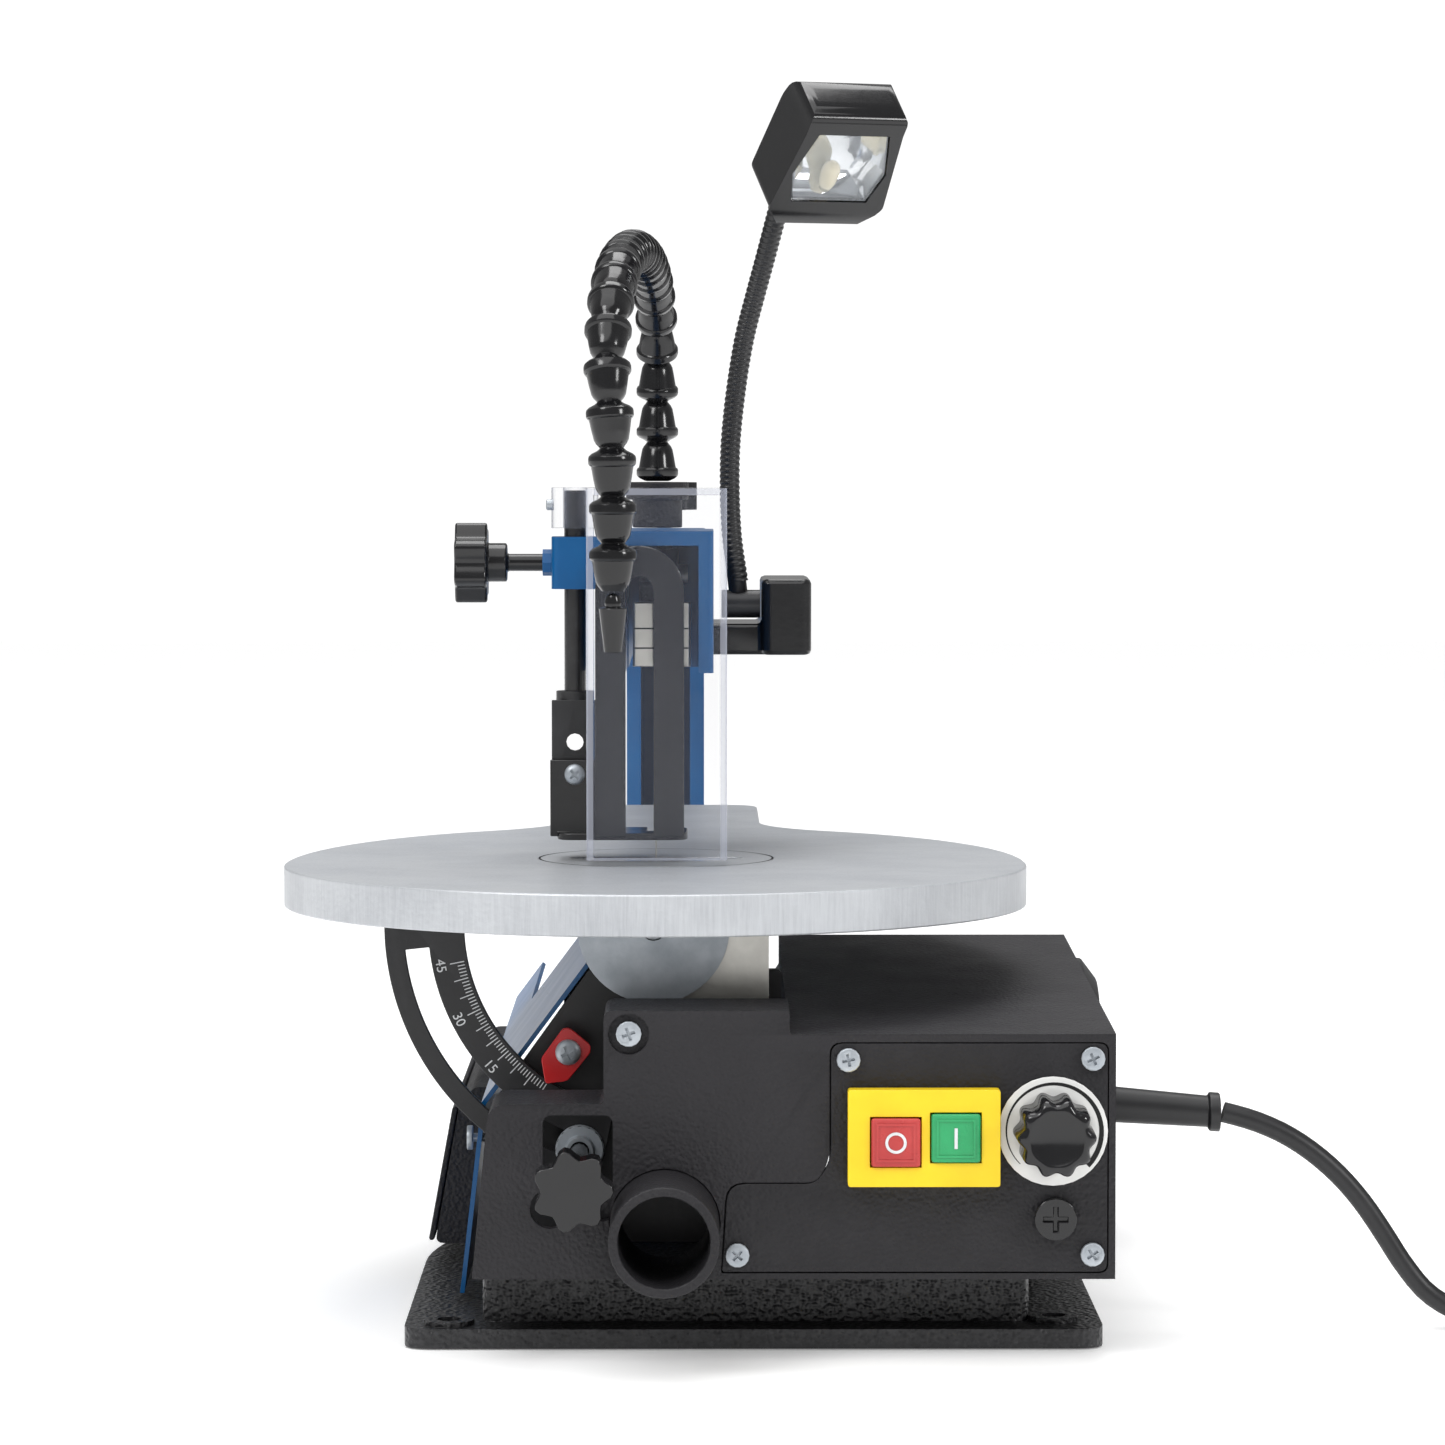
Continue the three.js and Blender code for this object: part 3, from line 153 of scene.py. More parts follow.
def makeBrushEffect():  # long fine lines, across or along by the stretch given
    group, start, end = makeEffect(
        "brushLines",
        [("Vector", "NodeSocketVector", None), ("Stretch", "NodeSocketVector", (1, 1, 1)),
         ("Scale", "NodeSocketFloat", 500.0)],
        [("Height", "NodeSocketFloat"), ("Mask", "NodeSocketFloat")])
    scaled = addNode(group, "ShaderNodeVectorMath", {}, operation="MULTIPLY")
    group.links.new(start.outputs["Vector"], scaled.inputs[0])
    group.links.new(start.outputs["Stretch"], scaled.inputs[1])
    noise = addNode(group, "ShaderNodeTexNoise",
                    {"Vector": scaled.outputs["Vector"], "Scale": start.outputs["Scale"]},
                    atDetail=4.0, atRoughness=0.7)
    mask = addNode(group, "ShaderNodeMapRange", {"Value": noise.outputs["Fac"]})
    mask.inputs["From Min"].default_value = 0.35
    mask.inputs["From Max"].default_value = 0.65
    group.links.new(noise.outputs["Fac"], end.inputs["Height"])
    group.links.new(mask.outputs["Result"], end.inputs["Mask"])
    return group


def makeWearEffect():  # rubbed edges, from how sharply the surface turns
    group, start, end = makeEffect(
        "edgeWear",
        [("Vector", "NodeSocketVector", None), ("Amount", "NodeSocketFloat", 0.3),
         ("Scale", "NodeSocketFloat", 90.0)],
        [("Mask", "NodeSocketFloat")])
    place = addNode(group, "ShaderNodeNewGeometry")
    edge = addNode(group, "ShaderNodeMapRange", {"Value": place.outputs["Pointiness"]})
    edge.inputs["From Min"].default_value = 0.53
    edge.inputs["From Max"].default_value = 0.62
    noise = addNode(group, "ShaderNodeTexNoise",
                    {"Vector": start.outputs["Vector"], "Scale": start.outputs["Scale"]},
                    atDetail=4.0)
    broken = addNode(group, "ShaderNodeMath", {}, operation="MULTIPLY")
    group.links.new(edge.outputs["Result"], broken.inputs[0])
    group.links.new(noise.outputs["Fac"], broken.inputs[1])
    strength = addNode(group, "ShaderNodeMath", {}, operation="MULTIPLY", use_clamp=True)
    group.links.new(broken.outputs[0], strength.inputs[0])
    group.links.new(start.outputs["Amount"], strength.inputs[1])
    group.links.new(strength.outputs[0], end.inputs["Mask"])
    return group


effects = {
    "tone": makeToneEffect(),
    "grain": makeGrainEffect(),
    "brush": makeBrushEffect(),
    "wear": makeWearEffect(),
}


def colour(red, green, blue):  # screen values 0-255 to linear
    def linear(value):
        share = value / 255
        return share / 12.92 if share <= 0.04045 else ((share + 0.055) / 1.055) ** 2.4
    return (linear(red), linear(green), linear(blue), 1.0)


finishes = {
    "blueEnamel": {"color": (0, 86, 142), "shade": (0, 76, 130), "toneScale": 40, "smooth": 0.24, "rough": 0.36,
                   "grainScale": 260, "lumps": 0.2, "grainDepth": 0.05, "coat": 0.12, "gleam": 0.32, "wear": 0.15,
                   "worn": (50, 112, 162)},
    "hammerBlack": {"color": (40, 40, 42), "shade": (14, 14, 16), "toneScale": 620, "smooth": 0.2, "rough": 0.48,
                    "grainScale": 640, "lumps": 0.75, "grainDepth": 1.0, "wear": 0.3, "worn": (95, 95, 98)},
    "sheetBlack": {"color": (24, 24, 26), "shade": (34, 34, 36), "toneScale": 60, "smooth": 0.32, "rough": 0.5,
                   "grainScale": 700, "lumps": 0.3, "grainDepth": 0.06, "wear": 0.25, "worn": (90, 90, 92)},
    "housingPlastic": {"color": (36, 35, 38), "shade": (28, 27, 30), "toneScale": 45, "smooth": 0.46, "rough": 0.64,
                       "grainScale": 820, "lumps": 0.65, "grainDepth": 0.55, "gleam": 0.34, "wear": 0.12,
                       "worn": (66, 64, 68)},
    "glossPlastic": {"color": (15, 15, 17), "shade": (22, 22, 24), "toneScale": 50, "smooth": 0.1, "rough": 0.22,
                     "grainScale": 300, "lumps": 0.2, "grainDepth": 0.02, "wear": 0.1, "worn": (60, 60, 62)},
    "neckSteel": {"color": (18, 18, 20), "shade": (30, 30, 32), "toneScale": 80, "smooth": 0.28, "rough": 0.42,
                  "grainScale": 800, "lumps": 0.2, "grainDepth": 0.05, "wear": 0.3, "worn": (80, 80, 84)},
    "zincPlate": {"color": (186, 192, 198), "shade": (160, 167, 174), "toneScale": 90, "smooth": 0.34, "rough": 0.52,
                  "grainScale": 500, "lumps": 0.3, "grainDepth": 0.08, "metal": 0.6, "wear": 0.2,
                  "worn": (225, 228, 230)},
    "brightSteel": {"color": (214, 212, 205), "shade": (190, 188, 182), "toneScale": 60, "smooth": 0.26,
                    "rough": 0.42, "grainScale": 450, "lumps": 0.2, "grainDepth": 0.05, "metal": 1.0,
                    "wear": 0.2, "worn": (240, 240, 236)},
    "yellowPlastic": {"color": (250, 214, 22), "shade": (240, 202, 14), "toneScale": 50, "smooth": 0.28,
                      "rough": 0.42, "grainScale": 500, "lumps": 0.3, "grainDepth": 0.05, "wear": 0.1,
                      "worn": (255, 228, 90)},
    "stopRed": {"color": (194, 62, 60), "shade": (178, 50, 50), "toneScale": 60, "smooth": 0.2, "rough": 0.34,
                "grainScale": 400, "lumps": 0.2, "grainDepth": 0.03, "wear": 0.1, "worn": (220, 110, 104)},
    "startGreen": {"color": (38, 164, 100), "shade": (28, 148, 88), "toneScale": 60, "smooth": 0.2, "rough": 0.34,
                   "grainScale": 400, "lumps": 0.2, "grainDepth": 0.03, "wear": 0.1, "worn": (96, 196, 140)},
    "pointerRed": {"color": (218, 32, 36), "shade": (196, 24, 30), "toneScale": 70, "smooth": 0.22, "rough": 0.36,
                   "grainScale": 400, "lumps": 0.2, "grainDepth": 0.05, "wear": 0.15, "worn": (236, 110, 104)},
    "dialWhite": {"color": (236, 236, 234), "shade": (226, 226, 224), "toneScale": 60, "smooth": 0.4, "rough": 0.55,
                  "grainScale": 600, "lumps": 0.2, "grainDepth": 0.02},
    "markWhite": {"color": (228, 230, 232), "shade": (206, 208, 210), "toneScale": 200, "smooth": 0.5, "rough": 0.6,
                  "grainScale": 600, "lumps": 0.2, "grainDepth": 0.02},
    "cordRubber": {"color": (20, 20, 22), "shade": (30, 30, 32), "toneScale": 90, "smooth": 0.36, "rough": 0.5,
                   "grainScale": 700, "lumps": 0.3, "grainDepth": 0.05},
    "chrome": {"color": (236, 238, 240), "shade": (222, 225, 228), "toneScale": 60, "smooth": 0.03, "rough": 0.1,
               "grainScale": 300, "lumps": 0.2, "grainDepth": 0.01, "metal": 1.0},
    "rodBlack": {"color": (12, 12, 13), "shade": (20, 20, 21), "toneScale": 60, "smooth": 0.12, "rough": 0.22,
                 "grainScale": 500, "lumps": 0.2, "grainDepth": 0.03, "wear": 0.3, "worn": (110, 110, 112)},
    "bulbGlass": {"color": (238, 226, 190), "shade": (228, 214, 176), "toneScale": 60, "smooth": 0.04, "rough": 0.12,
                  "grainScale": 300, "lumps": 0.2, "grainDepth": 0.01, "coat": 0.6},
    "holeBlack": {"color": (8, 8, 9), "shade": (14, 14, 15), "toneScale": 90, "smooth": 0.6, "rough": 0.8,
                  "grainScale": 700, "lumps": 0.3, "grainDepth": 0.02},
}

coatRoughness = 0.12


def makeFinish(name, values):
    material = bpy.data.materials.new(name)
    material.use_nodes = True
    tree = material.node_tree
    shader = tree.nodes["Principled BSDF"]
    place = addNode(tree, "ShaderNodeTexCoord").outputs["Object"]
    tone = addNode(tree, "ShaderNodeGroup", node_tree=effects["tone"])
    tree.links.new(place, tone.inputs["Vector"])
    tone.inputs["Color"].default_value = colour(*values["color"])
    tone.inputs["Shade"].default_value = colour(*values["shade"])
    tone.inputs["Scale"].default_value = values["toneScale"]
    tone.inputs["Smooth"].default_value = values["smooth"]
    tone.inputs["Rough"].default_value = values["rough"]
    base = tone.outputs["Color"]
    if values.get("wear"):
        wear = addNode(tree, "ShaderNodeGroup", node_tree=effects["wear"])
        tree.links.new(place, wear.inputs["Vector"])
        wear.inputs["Amount"].default_value = values["wear"] * 2
        worn = addNode(tree, "ShaderNodeMix", {}, data_type="RGBA")
        tree.links.new(wear.outputs["Mask"], worn.inputs["Factor"])
        tree.links.new(base, worn.inputs[6])
        worn.inputs[7].default_value = colour(*values["worn"])
        base = worn.outputs[2]
    tree.links.new(base, shader.inputs["Base Color"])
    tree.links.new(tone.outputs["Roughness"], shader.inputs["Roughness"])
    shader.inputs["Metallic"].default_value = values.get("metal", 0.0)
    shader.inputs["Coat Weight"].default_value = values.get("coat", 0.0)
    shader.inputs["Specular IOR Level"].default_value = values.get("gleam", 0.5)
    shader.inputs["Coat Roughness"].default_value = coatRoughness
    grain = addNode(tree, "ShaderNodeGroup", node_tree=effects["grain"])
    tree.links.new(place, grain.inputs["Vector"])
    grain.inputs["Scale"].default_value = values["grainScale"]
    grain.inputs["Lumps"].default_value = values["lumps"]
    bump = addNode(tree, "ShaderNodeBump", {"Height": grain.outputs["Height"]}, atStrength=values["grainDepth"])
    bump.inputs["Distance"].default_value = millimetre
    tree.links.new(bump.outputs["Normal"], shader.inputs["Normal"])
    return material


materials = {name: makeFinish(name, values) for name, values in finishes.items()}

tableFinish = {"color": (190, 193, 197), "shade": (170, 173, 178), "toneScale": 28, "smooth": 0.3, "rough": 0.5,
               "grainScale": 520, "lumps": 0.35, "grainDepth": 0.16, "metal": 0.35, "wear": 0.2,
               "worn": (232, 234, 236), "scratch": (214, 217, 220), "scratched": 0.35,
               "stretch": (1.0, 1.0, 0.06), "lines": 900}


def makeTableFinish(name, values):
    material = makeFinish(name, values)
    tree = material.node_tree
    shader = tree.nodes["Principled BSDF"]
    place = addNode(tree, "ShaderNodeTexCoord").outputs["Object"]
    brush = addNode(tree, "ShaderNodeGroup", node_tree=effects["brush"])
    tree.links.new(place, brush.inputs["Vector"])
    brush.inputs["Stretch"].default_value = values["stretch"]
    brush.inputs["Scale"].default_value = values["lines"]
    before = shader.inputs["Base Color"].links[0].from_socket
    mix = addNode(tree, "ShaderNodeMix", {}, data_type="RGBA")
    weaken = addNode(tree, "ShaderNodeMath", {}, operation="MULTIPLY")
    tree.links.new(brush.outputs["Mask"], weaken.inputs[0])
    weaken.inputs[1].default_value = values["scratched"]
    tree.links.new(weaken.outputs[0], mix.inputs["Factor"])
    tree.links.new(before, mix.inputs[6])
    mix.inputs[7].default_value = colour(*values["scratch"])
    tree.links.new(mix.outputs[2], shader.inputs["Base Color"])
    return material


materials["tableMetal"] = makeTableFinish("tableMetal", tableFinish)

clearSettings = {"tint": (176, 181, 197), "haze": 0.04, "seen": 0.045, "edge": 0.72, "blend": 0.34}
lensSettings = {"tint": (230, 235, 240), "haze": 0.03, "seen": 0.05, "edge": 0.6, "blend": 0.25}
edgeSettings = {"tint": (198, 202, 216), "haze": 0.05, "seen": 0.4, "edge": 0.6, "blend": 0.2}
sheetGloss = {"toneScale": 25, "shadeDrop": 6, "coat": 0.4, "coatRough": 0.04}


def makeClear(name, values):  # thin clear sheet: nearly unseen face on, whitish along its edges
    material = bpy.data.materials.new(name)
    material.use_nodes = True
    tree = material.node_tree
    shader = tree.nodes["Principled BSDF"]
    place = addNode(tree, "ShaderNodeTexCoord").outputs["Object"]
    tone = addNode(tree, "ShaderNodeGroup", node_tree=effects["tone"])
    tree.links.new(place, tone.inputs["Vector"])
    tone.inputs["Color"].default_value = colour(*values["tint"])
    tone.inputs["Shade"].default_value = colour(*[value - sheetGloss["shadeDrop"] for value in values["tint"]])
    tone.inputs["Scale"].default_value = sheetGloss["toneScale"]
    tone.inputs["Smooth"].default_value = 0.0
    tone.inputs["Rough"].default_value = values["haze"]
    tree.links.new(tone.outputs["Color"], shader.inputs["Base Color"])
    tree.links.new(tone.outputs["Roughness"], shader.inputs["Roughness"])
    facing = addNode(tree, "ShaderNodeLayerWeight", atBlend=values["blend"])
    seen = addNode(tree, "ShaderNodeMapRange", {"Value": facing.outputs["Facing"]})
    seen.inputs["To Min"].default_value = values["seen"]
    seen.inputs["To Max"].default_value = values["edge"]
    tree.links.new(seen.outputs["Result"], shader.inputs["Alpha"])
    shader.inputs["Coat Weight"].default_value = sheetGloss["coat"]
    shader.inputs["Coat Roughness"].default_value = sheetGloss["coatRough"]
    return material


materials["clearSheet"] = makeClear("clearSheet", clearSettings)
materials["clearLens"] = makeClear("clearLens", lensSettings)
materials["clearEdge"] = makeClear("clearEdge", edgeSettings)
print("finishes made")


def addPiece(name, mesh, finish, body, replaced=(), smooth=40):
    piece = bpy.data.objects.new(name, mesh)
    bpy.context.scene.collection.objects.link(piece)
    if finish:
        mesh.materials.clear()
        mesh.materials.append(materials[finish])
    mesh.polygons.foreach_set("use_smooth", [True] * len(mesh.polygons))
    mesh.set_sharp_from_angle(angle=math.radians(smooth))
    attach(piece, body)
    if replaced:
        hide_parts(*replaced)
    return piece


def bakeModifiers(piece):
    graph = bpy.context.evaluated_depsgraph_get()
    made = bpy.data.meshes.new_from_object(piece.evaluated_get(graph))
    piece.modifiers.clear()
    piece.data = made


softening = {"weld": 2e-6, "flat": 1.0, "evenWeight": 90}  # metres, degrees, per cent


def refine(node, finish, width=0.6, segments=2, angle=33, smooth=40):
    source = frame["nodes"][node]
    form = bmesh.new()
    form.from_mesh(source.data)
    bmesh.ops.remove_doubles(form, verts=form.verts, dist=softening["weld"])
    bmesh.ops.dissolve_limit(form, angle_limit=math.radians(softening["flat"]), verts=form.verts,
                             edges=form.edges)
    mesh = bpy.data.meshes.new(node + "Refined")
    form.to_mesh(mesh)
    form.free()
    piece = addPiece(node + "_refined", mesh, finish, source["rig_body"], (node,), smooth)
    if width:
        bevel = piece.modifiers.new("softEdges", "BEVEL")
        bevel.width = width * millimetre
        bevel.segments = segments
        bevel.limit_method = "ANGLE"
        bevel.angle_limit = math.radians(angle)
        bevel.harden_normals = False
        evenOut = piece.modifiers.new("evenNormals", "WEIGHTED_NORMAL")
        evenOut.keep_sharp = True
        evenOut.weight = softening["evenWeight"]
        bakeModifiers(piece)
    return piece


def bodyOf(node):
    return frame["nodes"][node]["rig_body"]


def boxOf(node):  # millimetres: low corner, high corner, middle
    points = [corner.co * 1000 for corner in frame["nodes"][node].data.vertices]
    low = Vector([min(point[axis] for point in points) for axis in range(3)])
    high = Vector([max(point[axis] for point in points) for axis in range(3)])
    return low, high, (low + high) / 2


def meshFrom(name, form, place=None):
    if place is not None:
        bmesh.ops.transform(form, matrix=place, verts=form.verts)
    bmesh.ops.recalc_face_normals(form, faces=form.faces)
    mesh = bpy.data.meshes.new(name)
    form.to_mesh(mesh)
    form.free()
    return mesh


def turnedForm(profile, sides=40, form=None, place=None):  # rows of (radius, along), millimetres, about Z
    form = form or bmesh.new()
    place = place or Matrix()
    rings = []
    for radius, along in profile:
        count = sides if radius > 1e-4 else 1
        ring = []
        for step in range(count):
            angle = 2 * math.pi * step / sides
            spot = Vector((radius * math.cos(angle), radius * math.sin(angle), along)) * millimetre
            ring.append(form.verts.new(place @ spot))
        rings.append(ring)
    for low, high in zip(rings, rings[1:]):
        for step in range(sides):
            following = (step + 1) % sides
            corners = [low[step % len(low)], low[following % len(low)], high[following % len(high)],
                       high[step % len(high)]]
            unique = list(dict.fromkeys(corners))
            if len(unique) > 2:
                form.faces.new(unique)
    return form


def plateForm(outline, depth, form=None):  # outline in millimetres in XY, raised along Z
    form = form or bmesh.new()
    low = [form.verts.new((u * millimetre, v * millimetre, 0)) for u, v in outline]
    high = [form.verts.new((u * millimetre, v * millimetre, depth * millimetre)) for u, v in outline]
    form.faces.new(low[::-1])
    form.faces.new(high)
    for step in range(len(outline)):
        following = (step + 1) % len(outline)
        form.faces.new((low[step], low[following], high[following], high[step]))
    return form


def aim(place, direction, roll=0.0):  # local Z along the direction
    turn = Vector(direction).to_track_quat("Z", "Y").to_matrix().to_4x4()
    return Matrix.Translation(Vector(place) * millimetre) @ turn @ Matrix.Rotation(math.radians(roll), 4, "Z")


def frontal(place):  # local X to the right, local Y up, local Z towards the operator
    turn = Matrix(((1, 0, 0), (0, 0, -1), (0, 1, 0))).to_4x4()
    return Matrix.Translation(Vector(place) * millimetre) @ turn


def smoothLine(points, step):  # evenly spaced points on a curve through the given ones
    knots = [Vector(point) for point in points]
    knots = [knots[0] * 2 - knots[1]] + knots + [knots[-1] * 2 - knots[-2]]
    dense = []
    for first, second, third, fourth in zip(knots, knots[1:], knots[2:], knots[3:]):
        times = [0.0]
        for start, end in ((first, second), (second, third), (third, fourth)):
            times.append(times[-1] + max((end - start).length, 1e-6) ** 0.5)
        for share in range(16):
            now = times[1] + (times[2] - times[1]) * share / 16
            one = first.lerp(second, (now - times[0]) / (times[1] - times[0]))
            two = second.lerp(third, (now - times[1]) / (times[2] - times[1]))
            three = third.lerp(fourth, (now - times[2]) / (times[3] - times[2]))
            four = one.lerp(two, (now - times[0]) / (times[2] - times[0]))
            five = two.lerp(three, (now - times[1]) / (times[3] - times[1]))
            dense.append(four.lerp(five, (now - times[1]) / (times[2] - times[1])))
    dense.append(knots[-2])
    lengths = [0.0]
    for start, end in zip(dense, dense[1:]):
        lengths.append(lengths[-1] + (end - start).length)
    count = max(2, round(lengths[-1] / step))
    even = []
    index = 0
    for number in range(count + 1):
        wanted = lengths[-1] * number / count
        while index < len(dense) - 2 and lengths[index + 1] < wanted:
            index += 1
        share = (wanted - lengths[index]) / max(lengths[index + 1] - lengths[index], 1e-9)
        even.append(dense[index].lerp(dense[index + 1], share))
    return even


# Mains lead: real length, out of the relief, down to the bench, then put away in a tied coil.
lead = {
    "exit": (188.6, -93, 71.9), "diameter": 7.0,
    "route": [(188.6, -93, 71.9), (194, -93, 70.5), (200, -93, 68.6), (209, -93, 64.6), (218, -93, 58.8),
              (227, -93, 51), (235, -93, 41.8), (242, -93, 31.6), (249, -93.2, 20.8), (256.5, -94, 11.9),
              (265, -95.6, 6.6), (274, -98.8, 4.2), (284, -103.4, 3.7), (294, -107.8, 3.7), (304, -110.9, 3.7),
              (313, -112.2, 3.7)],
    "coil": (322, -70),
    "slots": [(42.5, 3.6), (35.5, 3.6), (35.5, 10.6), (42.5, 10.6), (42.5, 17.6), (35.5, 17.6), (42.5, 24.6)],
    "every": 320, "change": 80, "turn": 2250, "angleStep": 10, "spacing": 4.0, "roundness": 3,
    "end": [(364.5, -61, 24.1), (364.5, -52, 21.4), (364.5, -43.1, 19.2)],
}


def coilPoint(angle, values):
    radius, height = values["slots"][0]
    for number, (nextRadius, nextHeight) in enumerate(values["slots"][1:], 1):
        share = (angle - values["every"] * number + values["change"]) / values["change"]
        share = min(max(share, 0), 1)
        share = share * share * (3 - 2 * share)
        radius += (nextRadius - values["slots"][number - 1][0]) * share
        height += (nextHeight - values["slots"][number - 1][1]) * share
    turn = math.radians(angle)
    return (values["coil"][0] + radius * math.sin(turn), values["coil"][1] - radius * math.cos(turn), height)


def makeLead(values):
    points = list(values["route"])
    points += [coilPoint(angle, values) for angle in range(0, values["turn"] + 1, values["angleStep"])]
    points += values["end"]
    line = smoothLine(points, values["spacing"])
    data = bpy.data.curves.new("mainsLead", "CURVE")
    data.dimensions = "3D"
    data.bevel_depth = values["diameter"] / 2 * millimetre
    data.bevel_resolution = values["roundness"]
    data.use_fill_caps = True
    spline = data.splines.new("POLY")
    spline.points.add(len(line) - 1)
    for point, spot in zip(spline.points, line):
        point.co = (*(spot * millimetre), 1)
    data.materials.append(materials["cordRubber"])
    piece = bpy.data.objects.new("mains_lead", data)
    bpy.context.scene.collection.objects.link(piece)
    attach(piece, bodyOf("power_cord"))
    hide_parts("power_cord", "cord_coil")
    length = sum((end - start).length for start, end in zip(line, line[1:])) * millimetre
    print("lead length", round(length, 3))
    return piece, length


# Strap round the coil's section: its loop, then rows of where along it and how much it bulges.
tie = {
    "loop": [(-7.7, 0.0), (7.7, 0.0), (8.6, 1.2), (8.6, 27.4), (7.4, 28.6), (-7.4, 28.6), (-8.6, 27.4), (-8.6, 1.2)],
    "rows": [(-5, 0.0), (-4.6, 0.35), (4.6, 0.35), (5, 0.0)],
    "toLeft": 39, "reach": 9, "lowest": 0.02, "lift": 0.05,
}


def makeTie(values, coil):
    x, y = coil
    form = bmesh.new()
    rings = []
    for along, bulge in values["rows"]:
        ring = []
        for u, v in values["loop"]:
            spot = Vector((x - values["toLeft"] + u * (1 + bulge / values["reach"]), y + along,
                           max(v, values["lowest"]) + values["lift"]))
            ring.append(form.verts.new(spot * millimetre))
        rings.append(ring)
    for low, high in zip(rings, rings[1:]):
        for step in range(len(values["loop"])):
            following = (step + 1) % len(values["loop"])
            form.faces.new((low[step], low[following], high[following], high[step]))
    return addPiece("cord_tie", meshFrom("cordTie", form), "sheetBlack", bodyOf("power_cord"))


leadPiece, leadLength = makeLead(lead)
reliefPiece = refine("strain_relief", "cordRubber", 0.4)
plugPiece = refine("mains_plug", "cordRubber", 0.8)
tiePiece = makeTie(tie, lead["coil"])
print("lead laid")


# Each row: node, finish, edge softness in millimetres.
refinedNodes = [
    ("base_casting", "hammerBlack", 1.0), ("lower_housing", "housingPlastic", 0.6),
    ("control_cover", "housingPlastic", 0.4), ("dust_port", "housingPlastic", 0.5),
    ("switch_bezel", "yellowPlastic", 0.4), ("stop_button", "stopRed", 0.5), ("start_button", "startGreen", 0.5),
    ("speed_dial_plate", "dialWhite", 0.15), ("side_cover", "blueEnamel", 0.3),
    ("storage_box", "housingPlastic", 0.5), ("storage_lid", "housingPlastic", 0.5),
    ("c_frame", "blueEnamel", 1.0), ("upper_pivot_pin", "brightSteel", 0.5), ("lower_pivot_pin", "brightSteel", 0.5),
    ("upper_arm", "hammerBlack", 0.6), ("lower_arm", "hammerBlack", 0.6), ("upper_clamp", "brightSteel", 0.5),
    ("lower_clamp", "brightSteel", 0.5), ("tension_rod", "zincPlate", 0.3), ("tension_knob", "glossPlastic", 1.2),
    ("motor", "sheetBlack", 0.8), ("crank_shaft", "brightSteel", 0.3), ("connecting_rod", "brightSteel", 0.4),
    ("table_top", "tableMetal", 1.2), ("table_insert", "tableMetal", 0.3), ("front_trunnion", "zincPlate", 0.3),
    ("rear_trunnion", "zincPlate", 0.3), ("tilt_scale", "sheetBlack", 0.3), ("trunnion_support", "brightSteel", 0.3),
    ("trunnion_pin", "zincPlate", 0.4), ("front_bracket", "sheetBlack", 0.4), ("rear_bracket", "sheetBlack", 0.4),
    ("tilt_pointer", "pointerRed", 0.25), ("tilt_lock_knob", "glossPlastic", 1.2),
    ("hold_down_rod", "rodBlack", 0.4), ("hold_down_bracket", "sheetBlack", 0.3),
    ("hold_down_foot", "glossPlastic", 0.4), ("finger_bow", "glossPlastic", 0.5),
    ("hold_down_knob", "glossPlastic", 1.2), ("blade_guard", "clearSheet", 0.8), ("air_pump", "housingPlastic", 0.8),
    ("lamp_base", "glossPlastic", 1.6), ("lamp_neck", "neckSteel", 0.0),
    ("saw_blade", "brightSteel", 0.1), ("fuse_cap", "glossPlastic", 0.4),
    ("air_nozzle", "glossPlastic", 0.2), ("lamp_lens", "clearLens", 0.2),
]
for node, finish, width in refinedNodes:
    refine(node, finish, width)
refine("lamp_head", "glossPlastic", 2.4, 4, 38, 50)
print("CAD pieces refined")


def carve(piece, tool, sharp=35):
    holder = bpy.data.objects.new("carvingTool", tool)
    bpy.context.scene.collection.objects.link(holder)
    change = piece.modifiers.new("carve", "BOOLEAN")
    change.operation = "DIFFERENCE"
    change.solver = "EXACT"
    change.object = holder
    bakeModifiers(piece)
    bpy.data.objects.remove(holder)
    piece.data.polygons.foreach_set("use_smooth", [True] * len(piece.data.polygons))
    piece.data.set_sharp_from_angle(angle=math.radians(sharp))


# Driver recess, a plain cross. Reach and half are shares of the head's width, and in looseRecess of its
# radius; depth and overshoot are in millimetres.
recess = {"reach": 0.27, "half": 0.06, "depth": 1.5, "overshoot": 4}
looseRecess = {"reach": 0.55, "half": 0.12, "depth": 1.2}


def crossTool(place, direction, reach, half, depth, roll=0.0):
    outline = [(reach, -half), (reach, half), (half, half), (half, reach), (-half, reach), (-half, half),
               (-reach, half), (-reach, -half), (-half, -half), (-half, -reach), (half, -reach), (half, -half)]
    start = Vector(place) - Vector(direction).normalized() * depth
    return meshFrom("crossTool", plateForm(outline, depth + recess["overshoot"]), aim(start, direction, roll))


screwRows = [(f"cover_screw_{number}", (0, -1, 0), 12 * number) for number in range(1, 5)]
screwRows += [("housing_screw", (0, -1, 0), 20), ("side_cover_screw", (-1, 0, 0), 35)]
for node, direction, roll in screwRows:
    piece = refine(node, "zincPlate", 0.5)
    low, high, middle = boxOf(node)
    axis = 1 if direction[1] else 0
    place = list(middle)
    place[axis] = low[axis]
    across = high[2] - low[2]
    carve(piece, crossTool(place, direction, across * recess["reach"], across * recess["half"],
                           recess["depth"], roll))
print("screws carved")

